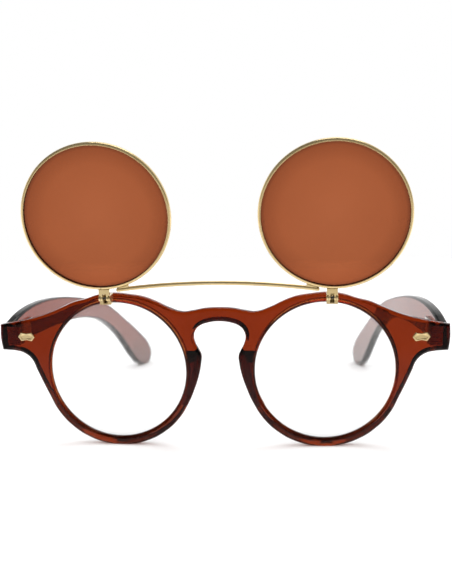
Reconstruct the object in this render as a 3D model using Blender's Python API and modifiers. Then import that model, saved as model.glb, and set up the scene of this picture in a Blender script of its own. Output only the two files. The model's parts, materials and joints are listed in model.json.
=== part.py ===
"""Round spectacles whose gold sun-lens front flips up and down over the clear lenses.

A translucent brown plastic front with a keyhole bridge holds two clear lenses. Its two temples
fold on five-barrel hinges. Above each eye a small gold hinge carries a wire rim with a sun lens,
and a curved bar joins the two rims, so that both flip together.

Metres, +Z up. The wearer looks along -Y, so +X is the wearer's left. The object stands on a table
at z = 0 on the bottoms of both rims and both temple tips, which leans the front by a few degrees.
The pieces of the front are placed in the front's own frame: x to the wearer's left, y backwards
from the face of the bridge, z up from the centres of the eye openings.
"""

import math

import bmesh
import bpy
from mathutils import Matrix

MM = 0.001

# Plastic front
FRONT_THICKNESS = 4.2 * MM
FRONT_BEVEL = 0.6 * MM
WRAP_RADIUS = 500 * MM  # the front bows back with this radius
WRAP_STEP = 12 * MM
EYE_X = 32.9 * MM
EYE_Z = -0.1 * MM
OPENING_RADIUS = 22.0 * MM
RIM_RADIUS = 24.95 * MM
BROW_RADIUS = 24.95 * MM
RIM_DROP = RIM_RADIUS - EYE_Z  # from the front's level line down to the rims' lowest line

# Clear lenses and their groove
GROOVE_RADIUS = 23.1 * MM
GROOVE_WIDTH = 1.7 * MM
GROOVE_DEPTH_BACK = 2.2 * MM  # from the front face to the middle of the groove
CLEAR_LENS_RADIUS = 22.95 * MM
CLEAR_LENS_THICKNESS = 1.3 * MM
CLEAR_LENS_CURVE = 200 * MM

# Temples and their hinges
TEMPLE_THICKNESS = 3.2 * MM
TEMPLE_BEVEL = 0.6 * MM
TEMPLE_INWARD = math.radians(6)
TEMPLE_BEND_START = 70 * MM
TEMPLE_BEND_STEP = 9 * MM
TEMPLE_BEND = 0.6  # inward bend in metres per square metre past its start
PIVOT_X = 66.4 * MM
PIVOT_Y = 10.6 * MM
TEMPLE_INNER_FACE = 1.75 * MM  # from the pivot outwards
TIP_DROP = 39.0 * MM
TIP_REACH = 150.3 * MM  # from the rims' lowest line back to the tips' lowest line
HINGE_BOTTOM = 7.0 * MM
HINGE_BARRELS = 5
BARREL_HEIGHT = 1.1 * MM
BARREL_GAP = 0.1 * MM
BARREL_RADIUS = 1.5 * MM
HINGE_BORE = 0.65 * MM
HINGE_SCREW_RADIUS = 0.55 * MM
HINGE_SCREW_HEAD = 1.15 * MM
LEAF_POCKET_GAP = 0.1 * MM

# Rivet plaques
PLAQUE_X = 62.7 * MM
PLAQUE_Z = 10.4 * MM
PLAQUE_THICKNESS = 0.5 * MM
PLAQUE_PIN_RADIUS = 0.45 * MM
PLAQUE_PIN_LENGTH = 1.3 * MM
PLAQUE_PIN_SPREAD = 1.3 * MM

# Nose pads
PAD_TOP = 6.1 * MM
PAD_BOTTOM = -12.0 * MM
PAD_CROWN_TOP = 1.4 * MM  # the crown is the pad's flat rear face
PAD_CROWN_BOTTOM = -7.0 * MM
PAD_DEPTH = 3.8 * MM
PAD_SLANT = 2.3 * MM  # how far the face towards the nose slants away over the depth
PAD_LENS_SLANT = 0.35 * MM
PAD_LENS_MARGIN = 0.5 * MM
PAD_NOSE_X = 6.45 * MM
PAD_NOSE_Z = 3.5 * MM
PAD_NOSE_FLARE = 20.0  # per metre
PAD_REACH_X = 14 * MM

# Flip-up front
FLIP_X = 35.0 * MM
FLIP_AXIS_Y = -3.5 * MM
FLIP_AXIS_Z = 24.33 * MM
FLIP_LEAN = math.radians(8.6)  # forward lean of the raised sun lenses against the front
DISC_X = 35.75 * MM
DISC_RISE = 25.85 * MM
FLIP_RIM_RADIUS = 22.85 * MM
FLIP_RIM_INNER = 21.95 * MM
FLIP_RIM_DEPTH = 2.0 * MM
FLIP_GROOVE_RADIUS = 22.42 * MM
FLIP_GROOVE_WIDTH = 1.24 * MM
RIM_SEAM = 0.12 * MM
SUN_LENS_RADIUS = 22.3 * MM
SUN_LENS_THICKNESS = 1.0 * MM
SUN_LENS_CURVE = 300 * MM
BAR_RADIUS = 0.65 * MM
BAR_RISE = 4.85 * MM
BAR_HALF_SPAN = 31.2 * MM
BAR_ARC_RADIUS = 227 * MM
LUG_INNER_END = 27.2 * MM
LUG_OUTER_END = 30.3 * MM
LUG_DEPTH = 1.2 * MM

# Flip hinges
KNUCKLE_RADIUS = 0.85 * MM
PIN_RADIUS = 0.35 * MM
PIN_BORE = 0.4 * MM
PIN_HALF_LENGTH = 1.7 * MM
BASE_HALF_WIDTH = 1.75 * MM
BASE_SLOT_HALF = 0.65 * MM
BASE_BEARING_HALF = 1.2 * MM  # half the space between the two ears around the pin
LEAF_HALF_WIDTH = 1.65 * MM
LUG_OUTER = 1.15 * MM
LUG_INNER = 0.55 * MM
BASE_SCREW_RADIUS = 0.35 * MM
BASE_SCREW_HEAD = 0.58 * MM
BASE_SCREW_DROP = 0.5 * MM  # below the flip axis

# The object at rest on the table
LEAN = math.atan2(TIP_DROP - RIM_DROP, TIP_REACH)
FOOT_TRIM = 0.25 * MM  # depth of the small flats that the object stands on
FRONT_OFFSET_Y = -71.7 * MM  # puts the origin below the middle of the whole object
RIM_FOOT_Y = EYE_X**2 / (2 * WRAP_RADIUS) + FRONT_BEVEL
EYE_HEIGHT = RIM_DROP * math.cos(LEAN) - RIM_FOOT_Y * math.sin(LEAN) - FOOT_TRIM

CIRCLE_STEPS = 44
OVERCUT = 1.0 * MM

SIDES = (("left", 1), ("right", -1))


# Scene, collections and materials


def clear_scene():
    for old in list(bpy.data.objects):
        bpy.data.objects.remove(old, do_unlink=True)


def new_collection(name):
    collection = bpy.data.collections.new(name)
    bpy.context.scene.collection.children.link(collection)
    return collection


def new_material(name, colour, roughness, metallic=0.0, transmission=0.0):
    material = bpy.data.materials.new(name)
    material.use_nodes = True
    shader = material.node_tree.nodes["Principled BSDF"]
    shader.inputs["Base Color"].default_value = (*colour, 1.0)
    shader.inputs["Roughness"].default_value = roughness
    shader.inputs["Metallic"].default_value = metallic
    shader.inputs["Transmission Weight"].default_value = transmission
    material.diffuse_color = (*colour, 1.0)
    return material


clear_scene()
PARTS = new_collection("flip_up_spectacles")
CUTTERS = new_collection("cutters")
BROWN_PLASTIC = ((0.20, 0.035, 0.008), 0.08, 0.0, 0.6)
GOLD = ((0.85, 0.63, 0.30), 0.15, 1.0, 0.0)
STEEL = ((0.60, 0.58, 0.55), 0.25, 1.0, 0.0)
CLEAR = ((0.97, 0.98, 0.98), 0.02, 0.0, 1.0)
SUN_BROWN = ((0.36, 0.10, 0.035), 0.05, 0.0, 0.3)


# Helpers for placing and building pieces


def new_empty(name, parent=None, location=(0, 0, 0), rotation=(0, 0, 0)):
    empty = bpy.data.objects.new(name, None)
    empty.empty_display_size = 0.01
    empty.location = location
    empty.rotation_euler = rotation
    empty.parent = parent
    PARTS.objects.link(empty)
    return empty


def new_piece(name, mesh, look, parent, location=(0, 0, 0), rotation=(0, 0, 0)):
    piece = bpy.data.objects.new(name, mesh)
    mesh.materials.append(new_material(name + "_material", *look))
    piece.location = location
    piece.rotation_euler = rotation
    piece.parent = parent
    PARTS.objects.link(piece)
    return piece


def new_cutter(name, mesh, parent=None, location=(0, 0, 0), rotation=(0, 0, 0)):
    cutter = bpy.data.objects.new(name, mesh)
    cutter.location = location
    cutter.rotation_euler = rotation
    cutter.parent = parent
    cutter.hide_render = True
    cutter.display_type = "WIRE"
    CUTTERS.objects.link(cutter)
    return cutter


def cut(piece, *cutters):
    for cutter in cutters:
        boolean = piece.modifiers.new("cut_" + cutter.name, "BOOLEAN")
        boolean.operation = "DIFFERENCE"
        boolean.solver = "EXACT"
        boolean.object = cutter


def finish_mesh(name, shape, smooth_angle=None):
    """Turns a bmesh into a mesh, with round stretches shaded smooth."""
    bmesh.ops.recalc_face_normals(shape, faces=shape.faces[:])
    mesh = bpy.data.meshes.new(name)
    shape.to_mesh(mesh)
    shape.free()
    if smooth_angle is not None:
        mesh.shade_smooth()
        mesh.set_sharp_from_angle(angle=smooth_angle)
    return mesh


def box_mesh(name, *boxes):
    """One mesh of separate boxes, each given as its lowest and highest corner."""
    shape = bmesh.new()
    for low, high in boxes:
        size = [h - l for l, h in zip(low, high)]
        middle = [(l + h) / 2 for l, h in zip(low, high)]
        place = Matrix.Translation(middle) @ Matrix.Diagonal((*size, 1.0))
        bmesh.ops.create_cube(shape, size=1.0, matrix=place)
    return finish_mesh(name, shape)


def rod_mesh(name, *rods, segments=14):
    """One mesh of cylinders along local Z, each given as (radius, bottom, top, x, y)."""
    shape = bmesh.new()
    for radius, bottom, top, x, y in rods:
        bmesh.ops.create_cone(
            shape,
            cap_ends=True,
            segments=segments,
            radius1=radius,
            radius2=radius,
            depth=top - bottom,
            matrix=Matrix.Translation((x, y, (bottom + top) / 2)),
        )
    return finish_mesh(name, shape, math.radians(40))


PLANES = {
    "XY": Matrix.Identity(4),
    "XZ": Matrix.Rotation(math.pi / 2, 4, "X"),
    "YZ": Matrix(((0, 0, 1, 0), (1, 0, 0, 0), (0, 1, 0, 0), (0, 0, 0, 1))),
}


def plate_mesh(name, loops, thickness, bevel=0.0, plane="XZ"):
    """A flat plate cut to closed outlines, centred on the plane it lies in.

    A loop is a list of (a, b) points joined by straight lines, or of (a, b, kind) control points
    of a Bezier outline, where kind is AUTO for a smooth point and VECTOR for a corner.
    """
    curve = bpy.data.curves.new(name + "_outline", "CURVE")
    curve.dimensions = "2D"
    curve.fill_mode = "BOTH"
    curve.extrude = thickness / 2 - bevel
    curve.bevel_depth = bevel
    curve.bevel_resolution = 0
    curve.offset = -bevel
    curve.resolution_u = 2
    for loop in loops:
        if len(loop[0]) == 2:
            spline = curve.splines.new("POLY")
            spline.points.add(len(loop) - 1)
            for point, (a, b) in zip(spline.points, loop):
                point.co = (a, b, 0, 1)
        else:
            spline = curve.splines.new("BEZIER")
            spline.bezier_points.add(len(loop) - 1)
            for point, (a, b, kind) in zip(spline.bezier_points, loop):
                point.co = (a, b, 0)
                point.handle_left_type = kind
                point.handle_right_type = kind
        spline.use_cyclic_u = True
    outline = bpy.data.objects.new(name + "_outline", curve)
    bpy.context.scene.collection.objects.link(outline)
    depsgraph = bpy.context.evaluated_depsgraph_get()
    mesh = bpy.data.meshes.new_from_object(outline.evaluated_get(depsgraph))
    bpy.data.objects.remove(outline, do_unlink=True)
    shape = bmesh.new()
    shape.from_mesh(mesh)
    bpy.data.meshes.remove(mesh)
    bmesh.ops.remove_doubles(shape, verts=shape.verts[:], dist=0.001 * MM)
    bmesh.ops.transform(shape, matrix=PLANES[plane], verts=shape.verts[:])
    return finish_mesh(name, shape, math.radians(35))


def turned_piece(piece, profile, closed, steps=CIRCLE_STEPS):
    """Spins a profile of (radius, height) points, outer side top to bottom, about local Z."""
    mesh = piece.data
    count = len(profile)
    edges = [(i, i + 1) for i in range(count - 1)]
    if closed:
        edges.append((count - 1, 0))
    mesh.from_pydata([(radius, 0, height) for radius, height in profile], edges, [])
    screw = piece.modifiers.new("turn", "SCREW")
    screw.steps = steps
    screw.render_steps = steps
    screw.use_merge_vertices = True
    screw.merge_threshold = 0.001 * MM
    screw.use_smooth_shade = True
    return piece


def arc(centre, radius, start, end, count):
    """Points on an arc, from start to end in degrees, both included."""
    points = []
    for i in range(count):
        angle = math.radians(start + (end - start) * i / (count - 1))
        points.append((centre[0] + radius * math.cos(angle), centre[1] + radius * math.sin(angle)))
    return points


def circle(centre, radius, count=CIRCLE_STEPS):
    return arc(centre, radius, 0, 360, count + 1)[:-1]


def smooth_points(points):
    return [(a, b, "AUTO") for a, b in points]


def in_mm(*points):
    return [(a * MM, b * MM) for a, b in points]


def corner(a, b):
    return [(a * MM, b * MM, "VECTOR")]


def mirrored(half):
    """Closes an outline whose first and last points lie on the centre plane."""
    other = [(-a, b, kind) for a, b, kind in half[1:-1]]
    return half + other[::-1]


def wrap(x):
    """How far back the bowed front stands at x."""
    return x * x / (2 * WRAP_RADIUS)


def wrap_angle(x):
    return math.atan(x / WRAP_RADIUS)


# Frames that the pieces are placed in

FRONT = new_empty("front_pose", None, (0, FRONT_OFFSET_Y, EYE_HEIGHT), (LEAN, 0, 0))
FLIP = new_empty("flip_axis", FRONT, (0, FLIP_AXIS_Y, FLIP_AXIS_Z), (FLIP_LEAN, 0, 0))
TEMPLE_PIVOT = {
    side: new_empty(
        side + "_temple_axis",
        FRONT,
        (sign * PIVOT_X, PIVOT_Y, 0),
        (0, 0, sign * TEMPLE_INWARD),
    )
    for side, sign in SIDES
}
TABLE_CUTTER = new_cutter(
    "table_cutter",
    box_mesh("table_cutter", ((-0.2, -0.2, -0.05), (0.2, 0.3, 0.0))),
)


# Plastic front


def front_outline():
    eye = (EYE_X, EYE_Z)
    half = smooth_points(in_mm((0, 20.4), (4.2, 20.2), (8, 19.5), (11.5, 19.1), (16, 20.5)))
    half += smooth_points(in_mm((20, 22.4), (24, 23.85)))
    half += smooth_points(arc((EYE_X, 0), BROW_RADIUS, 100, 66, 4))
    half += smooth_points(in_mm((46.5, 21.9), (50.5, 20.15), (55, 18.2), (60, 16.5)))
    half += smooth_points(in_mm((65, 15.3), (70, 14.3)))
    half += corner(71.8, 13.9)
    half += smooth_points(in_mm((71.95, 9.9)))
    half += corner(71.4, 5.6)
    half += smooth_points(in_mm((67, 5.4), (64.2, 4.75), (61.6, 2.7), (60, -0.8), (58, -5.2)))
    half += smooth_points(arc(eye, RIM_RADIUS, -20, -156, 10))
    half += smooth_points(in_mm((8.1, -5.5), (6.8, -1.5), (6.0, 2.5), (5.85, 5), (6.5, 6.6)))
    half += smooth_points(in_mm((7.6, 8.8), (8.1, 11), (7.7, 12.8), (6.4, 14.4), (3.5, 15.6)))
    half += smooth_points(in_mm((0, 16.0)))
    return mirrored(half)


def cut_in_strips(shape, axis, positions):
    """Gives a flat-sided mesh a row of cross edges at each position along an axis."""
    bmesh.ops.dissolve_limit(
        shape, angle_limit=math.radians(0.5), verts=shape.verts[:], edges=shape.edges[:]
    )
    for position in positions:
        bmesh.ops.bisect_plane(
            shape,
            geom=shape.verts[:] + shape.edges[:] + shape.faces[:],
            plane_co=[position * part for part in axis],
            plane_no=axis,
            dist=0.001 * MM,
        )


def bowed(mesh):
    """Bows a flat front back: cuts it into strips across x, then shifts each point by wrap."""
    shape = bmesh.new()
    shape.from_mesh(mesh)
    half_count = int(72 * MM / WRAP_STEP)
    cut_in_strips(shape, (1, 0, 0), [i * WRAP_STEP for i in range(-half_count, half_count + 1)])
    for vertex in shape.verts:
        vertex.co.y += wrap(vertex.co.x)
    return finish_mesh(mesh.name, shape, math.radians(35))


def frame_front():
    openings = [circle((sign * EYE_X, EYE_Z), OPENING_RADIUS) for _, sign in SIDES]
    flat = plate_mesh("frame_front", [front_outline()] + openings, FRONT_THICKNESS, FRONT_BEVEL)
    flat.transform(Matrix.Translation((0, FRONT_THICKNESS / 2, 0)))
    front = new_piece("frame_front", bowed(flat), BROWN_PLASTIC, FRONT)
    for side, sign in SIDES:
        cut(front, lens_groove_cutter(side, sign), leaf_pocket_cutter(side, sign))
        cut(front, plaque_hole_cutter(side, sign), base_screw_hole_cutter(side, sign))
    cut(front, TABLE_CUTTER)


def lens_place(sign):
    """Middle of a clear lens's edge, and the turn that lays its axis along the front's normal."""
    y = wrap(EYE_X) + GROOVE_DEPTH_BACK
    return (sign * EYE_X, y, EYE_Z), (math.pi / 2, 0, sign * wrap_angle(EYE_X))


def lens_groove_cutter(side, sign):
    name = "lens_groove_cutter_" + side
    location, rotation = lens_place(sign)
    cutter = new_cutter(name, bpy.data.meshes.new(name), FRONT, location, rotation)
    inner, half = OPENING_RADIUS - OVERCUT, GROOVE_WIDTH / 2
    profile = [(inner, half), (GROOVE_RADIUS, half), (GROOVE_RADIUS, -half), (inner, -half)]
    return turned_piece(cutter, profile, closed=True)


def lens_profile(radius, thickness, curve_radius):
    """Half section of a curved lens: a crowned top, a straight edge and a hollow underside."""
    surface = []
    for i in range(4):
        r = radius * i / 3
        crown = math.sqrt(curve_radius**2 - r**2) - math.sqrt(curve_radius**2 - radius**2)
        surface.append((r, crown))
    top = [(r, h + thickness / 2) for r, h in surface]
    bottom = [(r, h - thickness / 2) for r, h in reversed(surface)]
    return top + bottom


def clear_lens(side, sign):
    name = "clear_lens_" + side
    location, rotation = lens_place(sign)
    lens = new_piece(name, bpy.data.meshes.new(name), CLEAR, FRONT, location, rotation)
    profile = lens_profile(CLEAR_LENS_RADIUS, CLEAR_LENS_THICKNESS, CLEAR_LENS_CURVE)
    turned_piece(lens, profile, closed=False)


def plaque_place(sign):
    y = wrap(PLAQUE_X) - 0.06 * MM
    return (sign * PLAQUE_X, y, PLAQUE_Z), (0, 0, sign * wrap_angle(PLAQUE_X))


def rivet_plaque(side, sign):
    """Six-sided plaque with hollowed long edges, on two pins that hold it in the front."""
    name = "rivet_plaque_" + side
    location, rotation = plaque_place(sign)
    outline = in_mm((-2.85, 0), (-1.8, 1.4), (0, 1.05), (1.8, 1.4))
    outline += in_mm((2.85, 0), (1.8, -1.4), (0, -1.05), (-1.8, -1.4))
    plate = plate_mesh(name, [outline[::-1]], PLAQUE_THICKNESS, 0.15 * MM)
    plate.transform(Matrix.Translation((0, -PLAQUE_THICKNESS / 2, 0)))
    plaque = new_piece(name, plate, GOLD, FRONT, location, rotation)
    pins = [
        (PLAQUE_PIN_RADIUS, -PLAQUE_PIN_LENGTH, 0.2 * MM, x, 0)
        for x in (-PLAQUE_PIN_SPREAD, PLAQUE_PIN_SPREAD)
    ]
    pin_mesh = rod_mesh(name + "_pins", *pins, segments=12)
    pin_mesh.transform(PLANES["XZ"])
    tool = new_cutter(name + "_pins", pin_mesh, FRONT, location, rotation)
    join = plaque.modifiers.new("pins", "BOOLEAN")
    join.operation = "UNION"
    join.object = tool


def plaque_hole_cutter(side, sign):
    name = "plaque_hole_cutter_" + side
    location, rotation = plaque_place(sign)
    radius, depth = PLAQUE_PIN_RADIUS + 0.1 * MM, PLAQUE_PIN_LENGTH + 0.2 * MM
    holes = [
        (radius, -depth, OVERCUT, x, 0) for x in (-PLAQUE_PIN_SPREAD, PLAQUE_PIN_SPREAD)
    ]
    mesh = rod_mesh(name, *holes, segments=12)
    mesh.transform(PLANES["XZ"])
    return new_cutter(name, mesh, FRONT, location, rotation)


def nose_edge(z):
    """Where a pad starts beside the nose, at height z."""
    return PAD_NOSE_X + PAD_NOSE_FLARE * (z - PAD_NOSE_Z) ** 2


def lens_side_edge(z):
    """Where a pad ends beside the eye opening, at height z."""
    return EYE_X - math.sqrt(OPENING_RADIUS**2 - (z - EYE_Z) ** 2) - PAD_LENS_MARGIN


def pad_outline(top, bottom, nose_inset, lens_inset, stations=7):
    heights = [top + (bottom - top) * i / (stations - 1) for i in range(stations)]
    nose = [(nose_edge(z) + nose_inset, z) for z in heights]
    lens = [(lens_side_edge(z) - lens_inset, z) for z in reversed(heights)]
    return nose + lens


def nose_pad(side, sign):
    """A pad on the back of the front, with a slanted face towards the nose and a sloping top."""
    name = "nose_pad_" + side
    back_of_front = FRONT_THICKNESS + wrap(PAD_REACH_X) + 0.05 * MM
    foot = pad_outline(PAD_TOP, PAD_BOTTOM, 0, 0)
    crown = pad_outline(PAD_CROWN_TOP, PAD_CROWN_BOTTOM, PAD_SLANT, PAD_LENS_SLANT)
    shape = bmesh.new()
    foot_loop = [shape.verts.new((sign * x, back_of_front, z)) for x, z in foot]
    crown_loop = [shape.verts.new((sign * x, back_of_front + PAD_DEPTH, z)) for x, z in crown]
    shape.faces.new(foot_loop)
    shape.faces.new(crown_loop)
    bmesh.ops.bridge_loops(shape, edges=shape.edges[:])
    new_piece(name, finish_mesh(name, shape, math.radians(50)), BROWN_PLASTIC, FRONT)


# Temple hinges


def barrel_levels(first):
    """Bottom and top of every second barrel, starting from barrel number first."""
    pitch = BARREL_HEIGHT + BARREL_GAP
    return [
        (HINGE_BOTTOM + i * pitch, HINGE_BOTTOM + i * pitch + BARREL_HEIGHT)
        for i in range(first, HINGE_BARRELS, 2)
    ]


HINGE_HEIGHT = HINGE_BARRELS * (BARREL_HEIGHT + BARREL_GAP) - BARREL_GAP
HINGE_MIDDLE = HINGE_BOTTOM + HINGE_HEIGHT / 2


def hinge_leaf(name, outline, slot_levels, slot_edge, sign, parent, location=(0, 0, 0)):
    """A leaf with barrels: its plan outline raised to full height, less the other's barrels."""
    loop = [(sign * x, y) for x, y in outline]
    bore = circle((0, 0), HINGE_BORE, 14)
    mesh = plate_mesh(name, [loop, bore], HINGE_HEIGHT, plane="XY")
    mesh.transform(Matrix.Translation((0, 0, HINGE_MIDDLE)))
    leaf = new_piece(name, mesh, STEEL, parent, location)
    reach = 5 * MM
    low_y, high_y = slot_edge
    slots = [
        ((-reach, low_y, bottom - BARREL_GAP), (reach, high_y, top + BARREL_GAP))
        for bottom, top in slot_levels
    ]
    cut(leaf, new_cutter(name + "_slots", box_mesh(name + "_slots", *slots), parent, location))


def front_hinge_leaf(side, sign):
    """Three barrels on a plate that is sunk into the back of the end piece."""
    outline = in_mm((-0.9, -3.4), (3.1, -3.4), (3.1, -2.55), (1.0, -2.55))
    outline += arc((0, 0), BARREL_RADIUS, -48, 233, 15)
    slot_edge = (-2.45 * MM, 3 * MM)
    place = (sign * PIVOT_X, PIVOT_Y, 0)
    name = "front_hinge_leaf_" + side
    hinge_leaf(name, outline, barrel_levels(1), slot_edge, sign, FRONT, place)


def leaf_pocket_cutter(side, sign):
    name = "leaf_pocket_cutter_" + side
    gap = LEAF_POCKET_GAP
    low_x, high_x = sorted((sign * (-0.9 * MM - gap), sign * (3.1 * MM + gap)))
    low = (low_x, -3.4 * MM - gap, HINGE_BOTTOM - gap)
    high = (high_x, 3 * MM, HINGE_BOTTOM + HINGE_HEIGHT + gap)
    return new_cutter(name, box_mesh(name, (low, high)), FRONT, (sign * PIVOT_X, PIVOT_Y, 0))


def temple_hinge_leaf(side, sign):
    """Two barrels on a plate along the inside of the temple."""
    inner, outer = 0.75 * MM, TEMPLE_INNER_FACE - 0.05 * MM
    outline = [(outer, 11.5 * MM), (inner, 11.5 * MM), (inner, 1.9 * MM)]
    outline += arc((0, 0), BARREL_RADIUS, 78, 350, 15)
    outline += in_mm((1.48, 1.85)) + [(outer, 2.1 * MM)]
    slot_edge = (-3 * MM, 1.75 * MM)
    name = "temple_hinge_leaf_" + side
    hinge_leaf(name, outline, barrel_levels(0), slot_edge, sign, TEMPLE_PIVOT[side])


def temple_hinge_screw(side, sign):
    name = "temple_hinge_screw_" + side
    top = HINGE_BOTTOM + HINGE_HEIGHT
    profile = [
        (0, top + 0.75 * MM),
        (0.8 * HINGE_SCREW_HEAD, top + 0.75 * MM),
        (HINGE_SCREW_HEAD, top + 0.5 * MM),
        (HINGE_SCREW_HEAD, top + 0.06 * MM),
        (HINGE_SCREW_RADIUS, top + 0.06 * MM),
        (HINGE_SCREW_RADIUS, HINGE_BOTTOM - 0.2 * MM),
        (0, HINGE_BOTTOM - 0.2 * MM),
    ]
    place = (sign * PIVOT_X, PIVOT_Y, 0)
    screw = new_piece(name, bpy.data.meshes.new(name), STEEL, FRONT, place)
    turned_piece(screw, profile, closed=False, steps=16)
    slot = ((-2 * MM, -0.14 * MM, top + 0.45 * MM), (2 * MM, 0.14 * MM, top + 2 * MM))
    cut(screw, new_cutter(name + "_slot", box_mesh(name + "_slot", slot), FRONT, place))


# Temples


def temple_outline():
    """Side view of a temple: (distance behind the pivot, height in the front's frame)."""
    outline = corner(-1.5, 13.9)
    outline += smooth_points(in_mm((4, 15.2), (11, 16.0), (20, 16.1), (30, 15.4), (44, 13.4)))
    outline += smooth_points(in_mm((60, 10.1), (78, 5.6), (93, 1.0), (106, -5.0), (117, -11.0)))
    outline += smooth_points(in_mm((129, -17.8), (139, -24.0), (146, -29.3), (149.4, -34.4)))
    outline += smooth_points(in_mm((147.4, -38.3), (142, -39.0), (135, -37.0), (127, -31.8)))
    outline += smooth_points(in_mm((118, -24.2), (109, -17.0), (99, -10.8), (88, -5.6)))
    outline += smooth_points(in_mm((76, -1.8), (60, 1.6), (40, 4.0), (20, 5.2), (6, 5.6)))
    outline += corner(-1.5, 5.6)
    return outline


def temple(side, sign):
    name = "temple_" + side
    mesh = plate_mesh(name, [temple_outline()], TEMPLE_THICKNESS, TEMPLE_BEVEL, "YZ")
    shape = bmesh.new()
    shape.from_mesh(mesh)
    bends = range(9)
    cut_in_strips(shape, (0, 1, 0), [TEMPLE_BEND_START + i * TEMPLE_BEND_STEP for i in bends])
    middle = sign * (TEMPLE_INNER_FACE + TEMPLE_THICKNESS / 2)
    for vertex in shape.verts:
        past = max(vertex.co.y - TEMPLE_BEND_START, 0)
        vertex.co.x += middle - sign * TEMPLE_BEND * past * past
    mesh = finish_mesh(name, shape, math.radians(35))
    arm = new_piece(name, mesh, BROWN_PLASTIC, TEMPLE_PIVOT[side])
    cut(arm, TABLE_CUTTER)


# Flip-up front


def flip_rim(side, sign):
    """A wire ring, grooved inside for the lens, and split where its closing seam is."""
    name = "flip_rim_" + side
    place = (sign * DISC_X, 0, DISC_RISE)
    turn = (math.pi / 2, 0, 0)
    rim = new_piece(name, bpy.data.meshes.new(name), GOLD, FLIP, place, turn)
    half, lip, edge = FLIP_RIM_DEPTH / 2, FLIP_GROOVE_WIDTH / 2, 0.25 * MM
    profile = [
        (FLIP_RIM_INNER, half),
        (FLIP_RIM_RADIUS - edge, half),
        (FLIP_RIM_RADIUS, half - edge),
        (FLIP_RIM_RADIUS, edge - half),
        (FLIP_RIM_RADIUS - edge, -half),
        (FLIP_RIM_INNER, -half),
        (FLIP_RIM_INNER, -lip),
        (FLIP_GROOVE_RADIUS, -lip),
        (FLIP_GROOVE_RADIUS, lip),
        (FLIP_RIM_INNER, lip),
    ]
    turned_piece(rim, profile, closed=True)
    seam_x = sign * DISC_X
    low = (seam_x - RIM_SEAM / 2, -2 * MM, 2 * MM)
    high = (seam_x + RIM_SEAM / 2, 2 * MM, 6 * MM)
    cut(rim, new_cutter(name + "_seam", box_mesh(name + "_seam", (low, high)), FLIP))


def sun_lens(side, sign):
    """A curved lens whose crowned side looks back when the front is flipped up."""
    name = "sun_lens_" + side
    place = (sign * DISC_X, 0, DISC_RISE)
    lens = new_piece(name, bpy.data.meshes.new(name), SUN_BROWN, FLIP, place, (-math.pi / 2, 0, 0))
    profile = lens_profile(SUN_LENS_RADIUS, SUN_LENS_THICKNESS, SUN_LENS_CURVE)
    turned_piece(lens, profile, closed=False)


def bar_height(x):
    return BAR_RISE - BAR_ARC_RADIUS + math.sqrt(BAR_ARC_RADIUS**2 - x * x)


def rim_underside(x):
    """Height of the lowest line of a wire rim at x, on the side towards the nose."""
    return DISC_RISE - math.sqrt(FLIP_RIM_RADIUS**2 - (x - DISC_X) ** 2)


def flip_bridge_bar():
    """A round bar along a shallow arc, soldered below the inner side of both rims."""
    curve = bpy.data.curves.new("flip_bridge_bar", "CURVE")
    curve.dimensions = "3D"
    curve.bevel_depth = BAR_RADIUS
    curve.bevel_resolution = 2
    curve.use_fill_caps = True
    spline = curve.splines.new("POLY")
    count = 17
    spline.points.add(count - 1)
    for i, point in enumerate(spline.points):
        x = BAR_HALF_SPAN * (2 * i / (count - 1) - 1)
        point.co = (x, 0, bar_height(x), 1)
    bar = new_piece("flip_bridge_bar", curve, GOLD, FLIP)
    weld = bar.modifiers.new("weld", "WELD")
    weld.merge_threshold = 0.001 * MM


def bar_lug(side, sign):
    """A small wedge that fills the angle between the end of the bar and the rim above it."""
    name = "bar_lug_" + side
    gap = 0.06 * MM
    stations = [LUG_INNER_END + i * (LUG_OUTER_END - LUG_INNER_END) / 4 for i in range(5)]
    under = [(x, bar_height(x) + BAR_RADIUS + gap) for x in stations]
    over = [(x, rim_underside(x) - gap) for x in stations]
    outline = [(sign * x, z) for x, z in under + over[::-1]]
    new_piece(name, plate_mesh(name, [outline], LUG_DEPTH), GOLD, FLIP)


def flip_hinge_leaf(side, sign):
    """Upper half of a flip hinge: two lugs on the pin below a block soldered to the rim."""
    name = "flip_hinge_leaf_" + side
    half, top = 0.65 * MM, 2.93 * MM
    meet = math.degrees(math.acos(half / KNUCKLE_RADIUS))
    outline = [(half, top), (-half, top)]
    outline += arc((0, 0), KNUCKLE_RADIUS, 180 - meet, 360 + meet, 13)
    bore = circle((0, 0), PIN_BORE, 12)
    mesh = plate_mesh(name, [outline, bore], 2 * LEAF_HALF_WIDTH, plane="YZ")
    leaf = new_piece(name, mesh, GOLD, FLIP, (sign * FLIP_X, 0, 0))
    low, shoulder, roof = -2 * MM, 1.0 * MM, 1.5 * MM
    reliefs = (
        ((-LUG_INNER, -2 * MM, low), (LUG_INNER, 2 * MM, roof)),
        ((LUG_OUTER, -2 * MM, low), (2.5 * MM, 2 * MM, shoulder)),
        ((-2.5 * MM, -2 * MM, low), (-LUG_OUTER, 2 * MM, shoulder)),
    )
    mesh = box_mesh(name + "_reliefs", *reliefs)
    cut(leaf, new_cutter(name + "_reliefs", mesh, FLIP, (sign * FLIP_X, 0, 0)))


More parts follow.
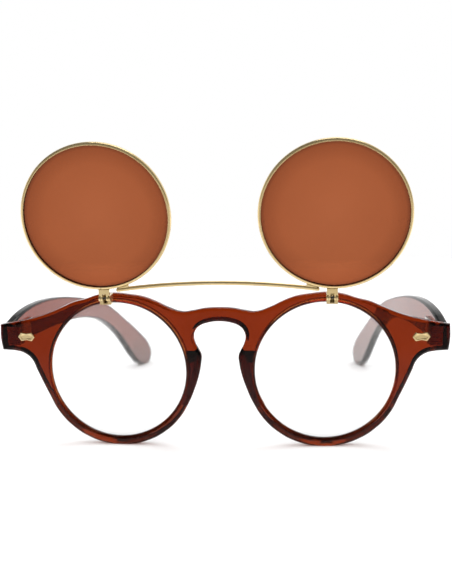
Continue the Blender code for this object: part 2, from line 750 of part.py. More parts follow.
def flip_hinge_base(side, sign):
    """Lower half of a flip hinge: a bracket on the front with an ear at each side of the lugs."""
    name = "flip_hinge_base_" + side
    back = wrap(FLIP_X - BASE_HALF_WIDTH) - FLIP_AXIS_Y - 0.05 * MM
    plate_front, floor_top, floor_bottom = back - 0.85 * MM, -1.85 * MM, -2.2 * MM
    step = KNUCKLE_RADIUS + 0.1 * MM
    outline = arc((0, 0), KNUCKLE_RADIUS, 95, 285, 11)
    outline += [(step, -0.95 * MM), (step, floor_bottom), (back, floor_bottom)]
    outline += [(back, 0.75 * MM)]
    bore = circle((0, 0), PIN_BORE, 12)
    mesh = plate_mesh(name, [outline, bore], 2 * BASE_HALF_WIDTH, plane="YZ")
    place = (sign * FLIP_X, FLIP_AXIS_Y, FLIP_AXIS_Z)
    base = new_piece(name, mesh, GOLD, FRONT, place)
    slot = ((-BASE_SLOT_HALF, 0, floor_top), (BASE_SLOT_HALF, plate_front, 2 * MM))
    slot_cutter = new_cutter(name + "_slot", box_mesh(name + "_slot", slot), FRONT, place)
    bearing_back = step - 0.03 * MM
    bearing = ((-BASE_BEARING_HALF, -2 * MM, -3 * MM), (BASE_BEARING_HALF, bearing_back, 2 * MM))
    bearing_mesh = box_mesh(name + "_bearing", bearing)
    bearing_cutter = new_cutter(name + "_bearing", bearing_mesh, FRONT, place)
    hole_mesh = rod_mesh(name + "_hole", base_screw_rod(0.05 * MM))
    hole_mesh.transform(PLANES["XZ"])
    hole = new_cutter(name + "_hole", hole_mesh, FRONT, (sign * FLIP_X, 0, FLIP_AXIS_Z))
    cut(base, slot_cutter, bearing_cutter, hole)


def base_screw_rod(clearance):
    """The base screw's shank as a rod along local Z, which points forward once it is laid over."""
    front = -(wrap(FLIP_X) - 1.9 * MM)
    return (BASE_SCREW_RADIUS + clearance, -3.2 * MM - clearance, front, 0, -BASE_SCREW_DROP)


def flip_base_screw(side, sign):
    name = "flip_base_screw_" + side
    _, tail, _, _, height = base_screw_rod(0)
    plate_front = -(wrap(FLIP_X - BASE_HALF_WIDTH) - 0.9 * MM)
    head = plate_front + 0.06 * MM
    profile = [
        (0, head + 0.5 * MM),
        (0.75 * BASE_SCREW_HEAD, head + 0.5 * MM),
        (BASE_SCREW_HEAD, head + 0.3 * MM),
        (BASE_SCREW_HEAD, head),
        (BASE_SCREW_RADIUS, head),
        (BASE_SCREW_RADIUS, tail),
        (0, tail),
    ]
    place = (sign * FLIP_X, 0, FLIP_AXIS_Z + height)
    turn = (math.pi / 2, 0, 0)
    screw = new_piece(name, bpy.data.meshes.new(name), GOLD, FRONT, place, turn)
    turned_piece(screw, profile, closed=False, steps=14)


def base_screw_hole_cutter(side, sign):
    name = "base_screw_hole_cutter_" + side
    mesh = rod_mesh(name, base_screw_rod(0.1 * MM))
    mesh.transform(PLANES["XZ"])
    return new_cutter(name, mesh, FRONT, (sign * FLIP_X, 0, FLIP_AXIS_Z))


def flip_hinge_pin(side, sign):
    name = "flip_hinge_pin_" + side
    mesh = rod_mesh(name, (PIN_RADIUS, -PIN_HALF_LENGTH, PIN_HALF_LENGTH, 0, 0))
    mesh.transform(Matrix.Rotation(math.pi / 2, 4, "Y"))
    new_piece(name, mesh, STEEL, FRONT, (sign * FLIP_X, FLIP_AXIS_Y, FLIP_AXIS_Z))


frame_front()
flip_bridge_bar()
for side_name, side_sign in SIDES:
    clear_lens(side_name, side_sign)
    rivet_plaque(side_name, side_sign)
    nose_pad(side_name, side_sign)
    front_hinge_leaf(side_name, side_sign)
    temple_hinge_leaf(side_name, side_sign)
    temple_hinge_screw(side_name, side_sign)
    temple(side_name, side_sign)
    flip_rim(side_name, side_sign)
    sun_lens(side_name, side_sign)
    bar_lug(side_name, side_sign)
    flip_hinge_leaf(side_name, side_sign)
    flip_hinge_base(side_name, side_sign)
    flip_base_screw(side_name, side_sign)
    flip_hinge_pin(side_name, side_sign)
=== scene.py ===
"""Looks of a pair of round spectacles with a gold flip-up front of brown sun lenses.

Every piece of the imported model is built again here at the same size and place, with rounded
edges, fine curves and its own material, and rides on the body that its CAD piece belongs to.
The pieces of the front are laid out in the front's own frame: x to the wearer's left, y backwards
from the face of the bridge, z up from the centres of the eye openings.
"""

import json
import math

import bmesh
import bpy
from mathutils import Matrix, Vector


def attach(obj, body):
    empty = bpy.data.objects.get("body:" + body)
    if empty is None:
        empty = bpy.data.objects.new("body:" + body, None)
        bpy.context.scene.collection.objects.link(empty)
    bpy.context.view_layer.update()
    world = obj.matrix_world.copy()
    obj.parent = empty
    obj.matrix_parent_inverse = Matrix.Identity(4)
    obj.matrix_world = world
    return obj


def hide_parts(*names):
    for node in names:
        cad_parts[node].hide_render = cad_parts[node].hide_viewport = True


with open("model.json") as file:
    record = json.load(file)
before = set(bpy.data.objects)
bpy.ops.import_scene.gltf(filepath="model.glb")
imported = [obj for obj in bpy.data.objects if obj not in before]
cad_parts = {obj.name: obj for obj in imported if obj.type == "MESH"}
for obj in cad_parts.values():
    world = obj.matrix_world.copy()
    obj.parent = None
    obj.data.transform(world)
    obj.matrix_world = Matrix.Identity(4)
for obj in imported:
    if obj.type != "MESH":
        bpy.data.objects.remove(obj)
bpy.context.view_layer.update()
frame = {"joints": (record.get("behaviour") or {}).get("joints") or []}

MM = 0.001

# Plastic front
FRONT_THICKNESS = 4.2 * MM
FRONT_BEVEL = 1.1 * MM
FRONT_EDGE_SOFTNESS = 0.8  # depth of the front edges' rounding as a share of its width
BACK_CHAMFER = 1.9 * MM  # depth of the steep chamfer along the back edges
WRAP_RADIUS = 500 * MM  # the front bows back with this radius
WRAP_STEP = 3 * MM  # distance between the cross edges that let the front bow
HALF_WIDTH = 72 * MM
EYE_X = 32.9 * MM
EYE_Z = -0.1 * MM
OPENING_RADIUS = 22.0 * MM
RIM_RADIUS = 24.95 * MM
POCKET_GAP = 0.1 * MM

# Clear lenses and their groove
GROOVE_RADIUS = 23.1 * MM
GROOVE_WIDTH = 1.7 * MM
GROOVE_DEPTH_BACK = 2.2 * MM  # from the front face to the middle of the groove
CLEAR_LENS_RADIUS = 22.95 * MM
CLEAR_LENS_THICKNESS = 1.3 * MM
CLEAR_LENS_CURVE = 200 * MM
CLEAR_LENS_CHAMFER = 0.12 * MM

# Temples and their hinges
TEMPLE_THICKNESS = 3.2 * MM
TEMPLE_BEVEL = 0.9 * MM
TEMPLE_INWARD = math.radians(6)
TEMPLE_BEND_START = 70 * MM
TEMPLE_BEND = 0.6  # inward bend in metres per square metre past its start
TEMPLE_BEND_LENGTH = 80 * MM
TEMPLE_BEND_STEP = 3 * MM
PIVOT_X = 66.4 * MM
PIVOT_Y = 10.6 * MM
TEMPLE_INNER_FACE = 1.75 * MM  # from the pivot outwards
HINGE_BOTTOM = 7.0 * MM
HINGE_BARRELS = 5
BARREL_HEIGHT = 1.1 * MM
BARREL_GAP = 0.1 * MM
BARREL_PITCH = BARREL_HEIGHT + BARREL_GAP
BARREL_RADIUS = 1.5 * MM
HINGE_HEIGHT = HINGE_BARRELS * BARREL_PITCH - BARREL_GAP
HINGE_TOP = HINGE_BOTTOM + HINGE_HEIGHT
HINGE_BORE = 0.65 * MM
HINGE_SCREW_RADIUS = 0.55 * MM
HINGE_SCREW_HEAD = 1.15 * MM
HINGE_SCREW_SEAT = 0.06 * MM  # height of the head's underside over the barrels
HINGE_SCREW_TOP = 0.75 * MM  # height of its top over them
HINGE_SCREW_SLOT_HALF = 0.14 * MM
HINGE_LEAF_EDGE = 0.07 * MM
HINGE_PLATE_INNER = -0.9 * MM  # the front leaf's plate, from the pivot outwards
HINGE_PLATE_OUTER = 3.1 * MM
HINGE_PLATE_FRONT = -3.4 * MM
HINGE_PLATE_BACK = -2.55 * MM

# Rivet plaques
PLAQUE_X = 62.7 * MM
PLAQUE_Z = 10.4 * MM
PLAQUE_THICKNESS = 0.5 * MM
PLAQUE_EDGE = 0.2 * MM
PLAQUE_GAP = 0.06 * MM  # between the plaque's back and the plastic
PLAQUE_FIELD_WIDTH = 0.7  # the sunk field's share of the plaque's width
PLAQUE_FIELD_HEIGHT = 0.6
PLAQUE_FIELD_DEPTH = 0.12 * MM
PLAQUE_PIN_RADIUS = 0.45 * MM
PLAQUE_PIN_LENGTH = 1.3 * MM
PLAQUE_PIN_SPREAD = 1.3 * MM

# Nose pads
PAD_TOP = 6.1 * MM
PAD_BOTTOM = -12.0 * MM
PAD_CROWN_TOP = 1.4 * MM
PAD_CROWN_BOTTOM = -7.0 * MM
PAD_DEPTH = 3.8 * MM
PAD_SLANT = 2.3 * MM
PAD_LENS_SLANT = 0.35 * MM
PAD_LENS_MARGIN = 0.5 * MM
PAD_NOSE_X = 6.45 * MM
PAD_NOSE_Z = 3.5 * MM
PAD_NOSE_FLARE = 20.0  # per metre
PAD_REACH_X = 14 * MM
PAD_GAP = 0.05 * MM  # between a pad's foot and the back of the front
PAD_EDGE = 0.7 * MM

# Flip-up front
FLIP_X = 35.0 * MM
FLIP_AXIS_Y = -3.5 * MM
FLIP_AXIS_Z = 24.33 * MM
FLIP_LEAN = math.radians(8.6)
DISC_X = 35.75 * MM
DISC_RISE = 25.85 * MM
FLIP_RIM_RADIUS = 22.85 * MM
FLIP_RIM_INNER = 21.95 * MM
FLIP_RIM_DEPTH = 2.0 * MM
FLIP_GROOVE_RADIUS = 22.42 * MM
FLIP_GROOVE_WIDTH = 1.24 * MM
RIM_SEAM = 0.12 * MM
SUN_LENS_RADIUS = 22.3 * MM
SUN_LENS_THICKNESS = 1.0 * MM
SUN_LENS_CURVE = 300 * MM
SUN_LENS_CHAMFER = 0.1 * MM
RIM_INNER_ROUNDING = 0.1 * MM
RIM_OUTER_ROUNDING = 0.75 * MM
RIM_LIP_ROUNDING = 0.05 * MM
BAR_RADIUS = 0.65 * MM
BAR_RISE = 4.85 * MM
BAR_HALF_SPAN = 31.2 * MM
BAR_ARC_RADIUS = 227 * MM
BAR_LUG_INNER_END = 27.2 * MM
BAR_LUG_OUTER_END = 30.3 * MM
BAR_LUG_DEPTH = 1.2 * MM
BAR_LUG_EDGE = 0.2 * MM
BAR_LUG_OVERLAP = 0.1 * MM  # how far a lug reaches into the rim

# Flip hinges
KNUCKLE_RADIUS = 0.85 * MM
PIN_RADIUS = 0.35 * MM
PIN_BORE = 0.4 * MM
PIN_HALF_LENGTH = 1.7 * MM
BASE_HALF_WIDTH = 1.75 * MM
BASE_SLOT_HALF = 0.65 * MM
BASE_BEARING_HALF = 1.2 * MM
LEAF_HALF_WIDTH = 1.65 * MM
LUG_OUTER = 1.15 * MM
LUG_INNER = 0.55 * MM
LEAF_HALF_DEPTH = 0.65 * MM
LEAF_TOP = 3.04 * MM
LEAF_SHOULDER = 1.0 * MM  # the block above this height is as wide as the whole leaf
LEAF_ROOF = 1.5 * MM  # top of the channel between the lugs
BASE_PLATE = 0.85 * MM  # thickness of the plate that stands against the front
BASE_PLATE_TOP = 0.75 * MM
BASE_STEP_TOP = -0.95 * MM
BASE_FLOOR_TOP = -1.85 * MM
BASE_FLOOR_BOTTOM = -2.2 * MM
KNUCKLE_GAP = 0.1 * MM
BASE_SCREW_RADIUS = 0.35 * MM
BASE_SCREW_HEAD = 0.58 * MM
BASE_SCREW_DROP = 0.5 * MM  # its axis lies this far below the flip axis
BASE_SCREW_FRONT = 1.9 * MM  # how far the shank reaches out of the front's face
BASE_SCREW_TAIL = 3.2 * MM  # how far behind the face of the bridge it ends
BASE_SCREW_SEAT = 0.06 * MM
BASE_SCREW_SLOT_HALF = 0.07 * MM
BASE_GAP = 0.05 * MM  # between the base and the front's face

SIDES = (("left", 1), ("right", -1))
TURN_STEPS = 144
OVERCUT = 1.0 * MM
WELD = 0.001 * MM  # points closer together than this are one point

# Studio
FLOOR_HALF_SIZE = 3.0
FLOOR_FADE_START = 0.45
FLOOR_FADE_END = 0.9
CAMERA_SIDE = 0.12  # brightness of the studio on the camera's own side
DARK_FLAG = 0.02  # brightness of the dark screen that hangs above and to the left
MIRROR_NEAR = 0.04  # a mirrored table is white up to this distance
MIRROR_FAR = 0.10  # and dim from this one on
TABLE_LIGHT = 1.3  # brightness of the studio as the table and other matt surfaces receive it
SUN_STRENGTH = 0.8
SUN_SPREAD = math.radians(40)
SUN_TURN = (math.radians(-20), math.radians(6), 0)
CAMERA_LENS, CAMERA_SENSOR = 58.15, 36.0  # focal length and sensor width in millimetres
CAMERA_APERTURE = 22.0
CAMERA_PLACE = (27.577 * MM, -285.45 * MM, 80.605 * MM)  # in the front's frame
CAMERA_YAW, CAMERA_PITCH, CAMERA_ROLL = 0.088, -0.19, 0.021

# Frames that the pieces are laid out in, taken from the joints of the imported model

JOINTS = {joint["name"]: joint for joint in frame["joints"]}
UP = Vector(JOINTS["left_temple_fold"]["axis"]).normalized()
SIDEWAYS = Vector((1, 0, 0))
BACK = UP.cross(SIDEWAYS)
FRONT_ORIGIN = Vector(JOINTS["flip"]["pos_m"]) - BACK * FLIP_AXIS_Y - UP * FLIP_AXIS_Z


def frame_matrix(origin, x, y, z):
    return Matrix.Translation(origin) @ Matrix((x, y, z)).transposed().to_4x4()


FRONT = frame_matrix(FRONT_ORIGIN, SIDEWAYS, BACK, UP)
FLIP = FRONT @ Matrix.Translation((0, FLIP_AXIS_Y, FLIP_AXIS_Z))
FLIP = FLIP @ Matrix.Rotation(FLIP_LEAN, 4, "X")
TEMPLE_PIVOT = {
    side: FRONT
    @ Matrix.Translation((sign * PIVOT_X, PIVOT_Y, 0))
    @ Matrix.Rotation(sign * TEMPLE_INWARD, 4, "Z")
    for side, sign in SIDES
}
LAID_BACK = Matrix.Rotation(math.pi / 2, 4, "X")  # turns a piece's axis from up to forward
BODY = {"front": "front", "flip": "flip_front", "left": "left_temple", "right": "right_temple"}


# Materials

CREVICE_SHADE_REACH = 0.9 * MM  # painted shade: gold's colour darkens where something stands this close in front of it
TABLE_SHADE_BELOW, UNSHADED_ABOVE = 4 * MM, 24 * MM  # heights between which painted shade darkens and greys the plastic towards the table
PLASTIC_DENSITY = 950.0  # how fast light is swallowed in it, per metre
DIM_TABLE = (0.38, 0.37, 0.35)


class Nodes:
    """Short calls for building a node tree."""

    def __init__(self, tree):
        self.tree = tree
        self.tree.nodes.clear()

    def add(self, kind, **settings):
        node = self.tree.nodes.new(kind)
        for key, value in settings.items():
            setattr(node, key, value)
        return node

    def link(self, value, socket):
        if isinstance(value, bpy.types.NodeSocket):
            self.tree.links.new(value, socket)
        elif isinstance(value, (tuple, list)) and len(value) == 3 and len(socket.default_value) == 4:
            socket.default_value = (*value, 1.0)
        else:
            socket.default_value = value

    def math(self, operation, first, second=0.0, clamp=False):
        node = self.add("ShaderNodeMath", operation=operation, use_clamp=clamp)
        self.link(first, node.inputs[0])
        self.link(second, node.inputs[1])
        return node.outputs[0]

    def split(self, vector):
        """The X, Y and Z of a vector."""
        node = self.add("ShaderNodeSeparateXYZ")
        self.link(vector, node.inputs[0])
        return node.outputs

    def mirrored_ray(self, path):
        """1 for a ray that a surface mirrors, and 0 for one that passes through glass."""
        glossy, passing = path.outputs["Is Glossy Ray"], path.outputs["Is Transmission Ray"]
        return self.math("SUBTRACT", glossy, passing, True)

    def remap(self, value, low, high, start=0.3, end=0.7):
        """Low up to start, high from end on, and evenly in between."""
        node = self.add("ShaderNodeMapRange")
        node.clamp = True
        for socket, number in zip(node.inputs, (value, start, end, low, high)):
            self.link(number, socket)
        return node.outputs[0]

    def ramp(self, value, *stops):
        """Colours by value: each stop is (position, colour)."""
        node = self.add("ShaderNodeValToRGB")
        self.link(value, node.inputs[0])
        elements = node.color_ramp.elements
        while len(elements) < len(stops):
            elements.new(1.0)
        for element, (position, colour) in zip(elements, stops):
            element.position = position
            element.color = (*colour, 1.0)
        return node.outputs[0]

    def mix(self, factor, first, second, blend="MIX"):
        node = self.add("ShaderNodeMix", data_type="RGBA", blend_type=blend)
        self.link(factor, node.inputs[0])
        self.link(first, node.inputs[6])
        self.link(second, node.inputs[7])
        return node.outputs[2]

    def bump(self, height, strength, distance):
        node = self.add("ShaderNodeBump")
        self.link(height, node.inputs["Height"])
        self.link(strength, node.inputs["Strength"])
        self.link(distance, node.inputs["Distance"])
        return node.outputs[0]


class Look(Nodes):
    """The node tree of a new material, laid out in the coordinates of its object."""

    def __init__(self, name):
        self.material = bpy.data.materials.new(name)
        self.material.use_nodes = True
        super().__init__(self.material.node_tree)
        self.output = self.add("ShaderNodeOutputMaterial")
        self.coordinates = self.add("ShaderNodeTexCoord").outputs["Object"]

    def noise(self, scale, detail=3.0, stretch=None):
        """Noise between 0 and 1 with so many cells to the metre, stretched along the axes."""
        place = self.coordinates
        if stretch:
            mapping = self.add("ShaderNodeMapping")
            self.link(self.coordinates, mapping.inputs["Vector"])
            self.link(stretch, mapping.inputs["Scale"])
            place = mapping.outputs[0]
        node = self.add("ShaderNodeTexNoise")
        self.link(place, node.inputs["Vector"])
        self.link(scale, node.inputs["Scale"])
        self.link(detail, node.inputs["Detail"])
        return node.outputs[0]

    def share_of_radius(self, full):
        """Distance from the local Z axis, as a share of the full radius."""
        x, y, _ = self.split(self.coordinates)
        squares = [self.math("MULTIPLY", part, part) for part in (x, y)]
        return self.math("DIVIDE", self.math("SQRT", self.math("ADD", *squares)), full)

    def principled(self, **values):
        shader = self.add("ShaderNodeBsdfPrincipled")
        for key, value in values.items():
            self.link(value, shader.inputs[key.replace("_", " ")])
        return shader.outputs[0]

    def surface(self, shader, shadow_tint=None):
        """Uses a shader; with a tint, light falls straight through it in that tint."""
        if shadow_tint:
            path = self.add("ShaderNodeLightPath")
            clear = self.add("ShaderNodeBsdfTransparent")
            self.link(shadow_tint, clear.inputs[0])
            mixer = self.add("ShaderNodeMixShader")
            self.link(path.outputs["Is Shadow Ray"], mixer.inputs[0])
            self.link(shader, mixer.inputs[1])
            self.link(clear.outputs[0], mixer.inputs[2])
            shader = mixer.outputs[0]
        self.link(shader, self.output.inputs["Surface"])
        return self.material


def brown_plastic():
    """Translucent cognac acetate: polished, deep where it is thick, with painted shade that darkens
    and greys it towards the table.
    """
    n = Look("brown_plastic_look")
    cloud = n.noise(55, 2)
    tint = n.mix(n.remap(cloud, 0, 1), (0.66, 0.235, 0.062), (0.57, 0.19, 0.047))
    _, _, height = n.split(n.coordinates)
    # painted shade: the tint turns darker and greyer towards the table
    low = n.remap(height, 1.0, 0.0, TABLE_SHADE_BELOW, UNSHADED_ABOVE)
    tint = n.mix(low, tint, (0.34, 0.18, 0.11))
    fine = n.noise(900, 2)
    shader = n.principled(
        Base_Color=tint,
        Roughness=n.remap(n.noise(260), 0.02, 0.055),
        IOR=1.49,
        Specular_Tint=(0.4, 0.37, 0.36),
        Transmission_Weight=1.0,
        Normal=n.bump(fine, 0.04, 0.00006),
    )
    absorption = n.add("ShaderNodeVolumeAbsorption")
    n.link((0.68, 0.36, 0.08), absorption.inputs["Color"])
    n.link(PLASTIC_DENSITY, absorption.inputs["Density"])
    n.link(absorption.outputs[0], n.output.inputs["Volume"])
    return n.surface(shader, (0.62, 0.36, 0.22))


def gold():
    """Pale gold plating with faint polishing marks, and painted shade that darkens it in crevices and
    narrow gaps.
    """
    n = Look("gold_look")
    worn = n.noise(700, 4)
    tint = n.mix(n.remap(n.noise(120), 0, 1), (0.88, 0.69, 0.37), (0.80, 0.60, 0.29))
    # painted shade: the colour turns near-black in crevices and narrow gaps
    painted_crevice_shade = n.add("ShaderNodeAmbientOcclusion", samples=8)
    n.link(CREVICE_SHADE_REACH, painted_crevice_shade.inputs["Distance"])
    open_share = n.remap(painted_crevice_shade.outputs["AO"], 0.0, 1.0, 0.25, 0.7)
    shader = n.principled(
        Base_Color=n.mix(open_share, (0.10, 0.055, 0.02), tint),
        Metallic=0.84,
        Roughness=n.remap(worn, 0.11, 0.2),
        Normal=n.bump(n.noise(2600, 2), 0.06, 0.00003),
    )
    return n.surface(shader)


def steel(name, bright, dull):
    """Brushed steel."""
    n = Look(name)
    brushed = n.noise(500, 3, (1, 1, 9))
    tint = n.mix(n.remap(brushed, 0, 1), bright, dull)
    shader = n.principled(
        Base_Color=tint,
        Metallic=1.0,
        Roughness=n.remap(brushed, 0.22, 0.36),
        Normal=n.bump(brushed, 0.1, 0.00003),
    )
    return n.surface(shader)


def clear_lens_look():
    """Thin clear lens with a faint painted grey rim, shade painted where the light runs along the
    edge.
    """
    n = Look("clear_lens_look")
    # painted shade: the tint greys towards the lens's edge
    tint = n.ramp(
        n.share_of_radius(CLEAR_LENS_RADIUS),
        (0.0, (0.985, 0.99, 0.99)),
        (0.9, (0.98, 0.985, 0.985)),
        (1.0, (0.8, 0.82, 0.82)),
    )
    shader = n.principled(
        Base_Color=tint,
        Roughness=n.remap(n.noise(90), 0.0, 0.012),
        IOR=1.5,
        Transmission_Weight=1.0,
    )
    return n.surface(shader, (0.94, 0.945, 0.945))


def sun_lens_look():
    """Brown tinted lens, lighter in its middle by a painted soft reflection and darker towards its
    rim by a painted shadow.
    """
    n = Look("sun_lens_look")
    # painted reflection in the middle, painted shadow towards the rim
    reflection_and_rim_shade = n.ramp(
        n.share_of_radius(SUN_LENS_RADIUS),
        (0.0, (0.43, 0.120, 0.046)),
        (0.72, (0.39, 0.104, 0.038)),
        (0.93, (0.31, 0.078, 0.028)),
        (1.0, (0.14, 0.035, 0.014)),
    )
    cloudy = n.remap(n.noise(45, 1), 0.95, 1.0)
    shader = n.principled(
        Base_Color=n.mix(1.0, reflection_and_rim_shade, cloudy, "MULTIPLY"),
        Roughness=n.remap(n.noise(150), 0.0, 0.02),
        IOR=1.5,
        Specular_Tint=(0.3, 0.25, 0.22),
        Transmission_Weight=1.0,
    )
    return n.surface(shader, (0.55, 0.3, 0.2))


def floor_look():
    """Pale matt table that fades out into the white studio around it.

    Where the object mirrors it, the table is dim on the camera's side, away from the object.
    """
    n = Look("floor_look")
    tint = n.mix(n.remap(n.noise(6, 2), 0, 1), (0.93, 0.93, 0.93), (0.95, 0.95, 0.95))
    path = n.add("ShaderNodeLightPath")
    reach = n.remap(path.outputs["Ray Length"], 0.0, 1.0, MIRROR_NEAR, MIRROR_FAR)
    turn = n.add("ShaderNodeVectorTransform", vector_type="VECTOR")
    turn.convert_from, turn.convert_to = "WORLD", "CAMERA"
    n.link(n.add("ShaderNodeNewGeometry").outputs["Incoming"], turn.inputs[0])
    _, _, towards_camera = n.split(turn.outputs[0])
    camera_side = n.remap(towards_camera, 0.0, 1.0, 0.0, 0.3)
    dim = n.math("MULTIPLY", n.math("MULTIPLY", n.mirrored_ray(path), reach), camera_side)
    tint = n.mix(dim, tint, DIM_TABLE)
    table = n.principled(Base_Color=tint, Roughness=0.65, Specular_IOR_Level=0.2)
    fade = n.remap(n.share_of_radius(1.0), 0.0, 1.0, FLOOR_FADE_START, FLOOR_FADE_END)
    mixer = n.add("ShaderNodeMixShader")
    n.link(fade, mixer.inputs[0])
    n.link(table, mixer.inputs[1])
    n.link(n.add("ShaderNodeBsdfTransparent").outputs[0], mixer.inputs[2])
    return n.surface(mixer.outputs[0])


ROUND_LOOKS = ("clear_lens", "sun_lens")  # these shade by the distance from a lens's own axis
LOOKS = {
    "brown_plastic": brown_plastic(),
    "gold": gold(),
    "steel": steel("steel_look", (0.55, 0.53, 0.50), (0.42, 0.40, 0.38)),
    "dark_steel": steel("dark_steel_look", (0.10, 0.09, 0.08), (0.05, 0.045, 0.04)),
    "clear_lens": clear_lens_look(),
    "sun_lens": sun_lens_look(),
}


# Helpers for building meshes


def arc(centre, radius, start, end, count):
    """Points on an arc, from start to end in degrees, both included."""
    points = []
    for i in range(count):
        angle = math.radians(start + (end - start) * i / (count - 1))
        points.append((centre[0] + radius * math.cos(angle), centre[1] + radius * math.sin(angle)))
    return points


def circle(centre, radius, count=TURN_STEPS):
    return arc(centre, radius, 0, 360, count + 1)[:-1]


def smooth_points(points):
    return [(a, b, "AUTO") for a, b in points]


def in_mm(*points):
    return [(a * MM, b * MM) for a, b in points]


def corner(a, b):
    return [(a * MM, b * MM, "VECTOR")]


def mirrored(half):
    """Closes an outline whose first and last points lie on the centre plane."""
    other = [(-a, b, kind) for a, b, kind in half[1:-1]]
    return half + other[::-1]


def wrap(x):
    """How far back the bowed front stands at x."""
    return x * x / (2 * WRAP_RADIUS)


def wrap_angle(x):
    return math.atan(x / WRAP_RADIUS)


def finish_mesh(name, shape):
    bmesh.ops.recalc_face_normals(shape, faces=shape.faces[:])
    mesh = bpy.data.meshes.new(name)
    shape.to_mesh(mesh)
    shape.free()
    return mesh


def box_mesh(name, *boxes):
    """One mesh of separate boxes, each given as its lowest and highest corner."""
    shape = bmesh.new()
    for low, high in boxes:
        size = [h - l for l, h in zip(low, high)]
        middle = [(l + h) / 2 for l, h in zip(low, high)]
        place = Matrix.Translation(middle) @ Matrix.Diagonal((*size, 1.0))
        bmesh.ops.create_cube(shape, size=1.0, matrix=place)
    return finish_mesh(name, shape)


PLANES = {
    "XY": Matrix.Identity(4),
    "XZ": LAID_BACK,
    "YZ": Matrix(((0, 0, 1, 0), (1, 0, 0, 0), (0, 1, 0, 0), (0, 0, 0, 1))),
}


def plate_mesh(name, loops, thickness, bevel=0.0, plane="XZ", rounding=4):
    """A flat plate cut to closed outlines with rounded edges, centred on the plane it lies in.

    A loop is a list of (a, b) points joined by straight lines, or of (a, b, kind) control points
    of a Bezier outline, where kind is AUTO for a smooth point and VECTOR for a corner.
    """
    curve = bpy.data.curves.new(name + "_outline", "CURVE")
    curve.dimensions = "2D"
    curve.fill_mode = "BOTH"
    curve.extrude = thickness / 2 - bevel
    curve.bevel_depth = bevel
    curve.bevel_resolution = rounding
    curve.offset = -bevel
    curve.resolution_u = 8
    for loop in loops:
        if len(loop[0]) == 2:
            spline = curve.splines.new("POLY")
            spline.points.add(len(loop) - 1)
            for point, (a, b) in zip(spline.points, loop):
                point.co = (a, b, 0, 1)
        else:
            spline = curve.splines.new("BEZIER")
            spline.bezier_points.add(len(loop) - 1)
            for point, (a, b, kind) in zip(spline.bezier_points, loop):
                point.co = (a, b, 0)
                point.handle_left_type = kind
                point.handle_right_type = kind
        spline.use_cyclic_u = True
    outline = bpy.data.objects.new(name + "_outline", curve)
    bpy.context.scene.collection.objects.link(outline)
    depsgraph = bpy.context.evaluated_depsgraph_get()
    mesh = bpy.data.meshes.new_from_object(outline.evaluated_get(depsgraph))
    bpy.data.objects.remove(outline, do_unlink=True)
    shape = bmesh.new()
    shape.from_mesh(mesh)
    bpy.data.meshes.remove(mesh)
    bmesh.ops.remove_doubles(shape, verts=shape.verts[:], dist=WELD)
    bmesh.ops.transform(shape, matrix=PLANES[plane], verts=shape.verts[:])
    return finish_mesh(name, shape)


def turned_mesh(name, profile, closed=False, steps=TURN_STEPS):
    """Spins a profile of (radius, height) points about local Z."""
    shape = bmesh.new()
    rings = []
    for radius, height in profile:
        if radius == 0:
            rings.append([shape.verts.new((0, 0, height))])
            continue
        ring = []
        for i in range(steps):
            angle = 2 * math.pi * i / steps
            ring.append(shape.verts.new((radius * math.cos(angle), radius * math.sin(angle), height)))
        rings.append(ring)
    pairs = list(zip(rings, rings[1:]))
    if closed:
        pairs.append((rings[-1], rings[0]))
    for first, second in pairs:
        for i in range(steps):
            j = (i + 1) % steps
            corners = [first[i % len(first)], first[j % len(first)]]
            corners += [second[j % len(second)], second[i % len(second)]]
            shape.faces.new(list(dict.fromkeys(corners)))
    return finish_mesh(name, shape)


def rounded_profile(points, radii, count=5):
    """Rounds the corners of an open or closed profile: one radius to a point, 0 for sharp."""
    result = []
    total = len(points)
    for i, (point, radius) in enumerate(zip(points, radii)):
        if radius == 0:
            result.append(point)
            continue
        here = Vector(point)
        before = (Vector(points[i - 1]) - here).normalized()
        after = (Vector(points[(i + 1) % total]) - here).normalized()
        half = before.angle(after) / 2
        start, end = here + before * radius / math.tan(half), here + after * radius / math.tan(half)
        centre = here + (before + after).normalized() * radius / math.sin(half)
        for step in range(count + 1):
            share = step / count
            blend = (start - centre) * (1 - share) + (end - centre) * share
            direction = blend.normalized() * radius
            result.append(tuple(centre + direction))
    return result


def moved(mesh, *place):
    mesh.transform(Matrix.Translation(place))
    return mesh


def apply_modifiers(piece):
    depsgraph = bpy.context.evaluated_depsgraph_get()
    mesh = bpy.data.meshes.new_from_object(piece.evaluated_get(depsgraph))
    piece.modifiers.clear()
    old, piece.data = piece.data, mesh
    mesh.name = old.name
    bpy.data.meshes.remove(old)


def boolean(piece, meshes, operation="DIFFERENCE"):
    """Cuts meshes, laid out in the piece's own frame, out of it one after the other."""
    for mesh in meshes:
        tool = bpy.data.objects.new("tool", mesh)
        bpy.context.scene.collection.objects.link(tool)
        modifier = piece.modifiers.new("cut", "BOOLEAN")
        modifier.operation = operation
        modifier.solver = "EXACT"
        modifier.object = tool
        bpy.context.view_layer.update()
        apply_modifiers(piece)
        bpy.data.objects.remove(tool, do_unlink=True)
        bpy.data.meshes.remove(mesh)


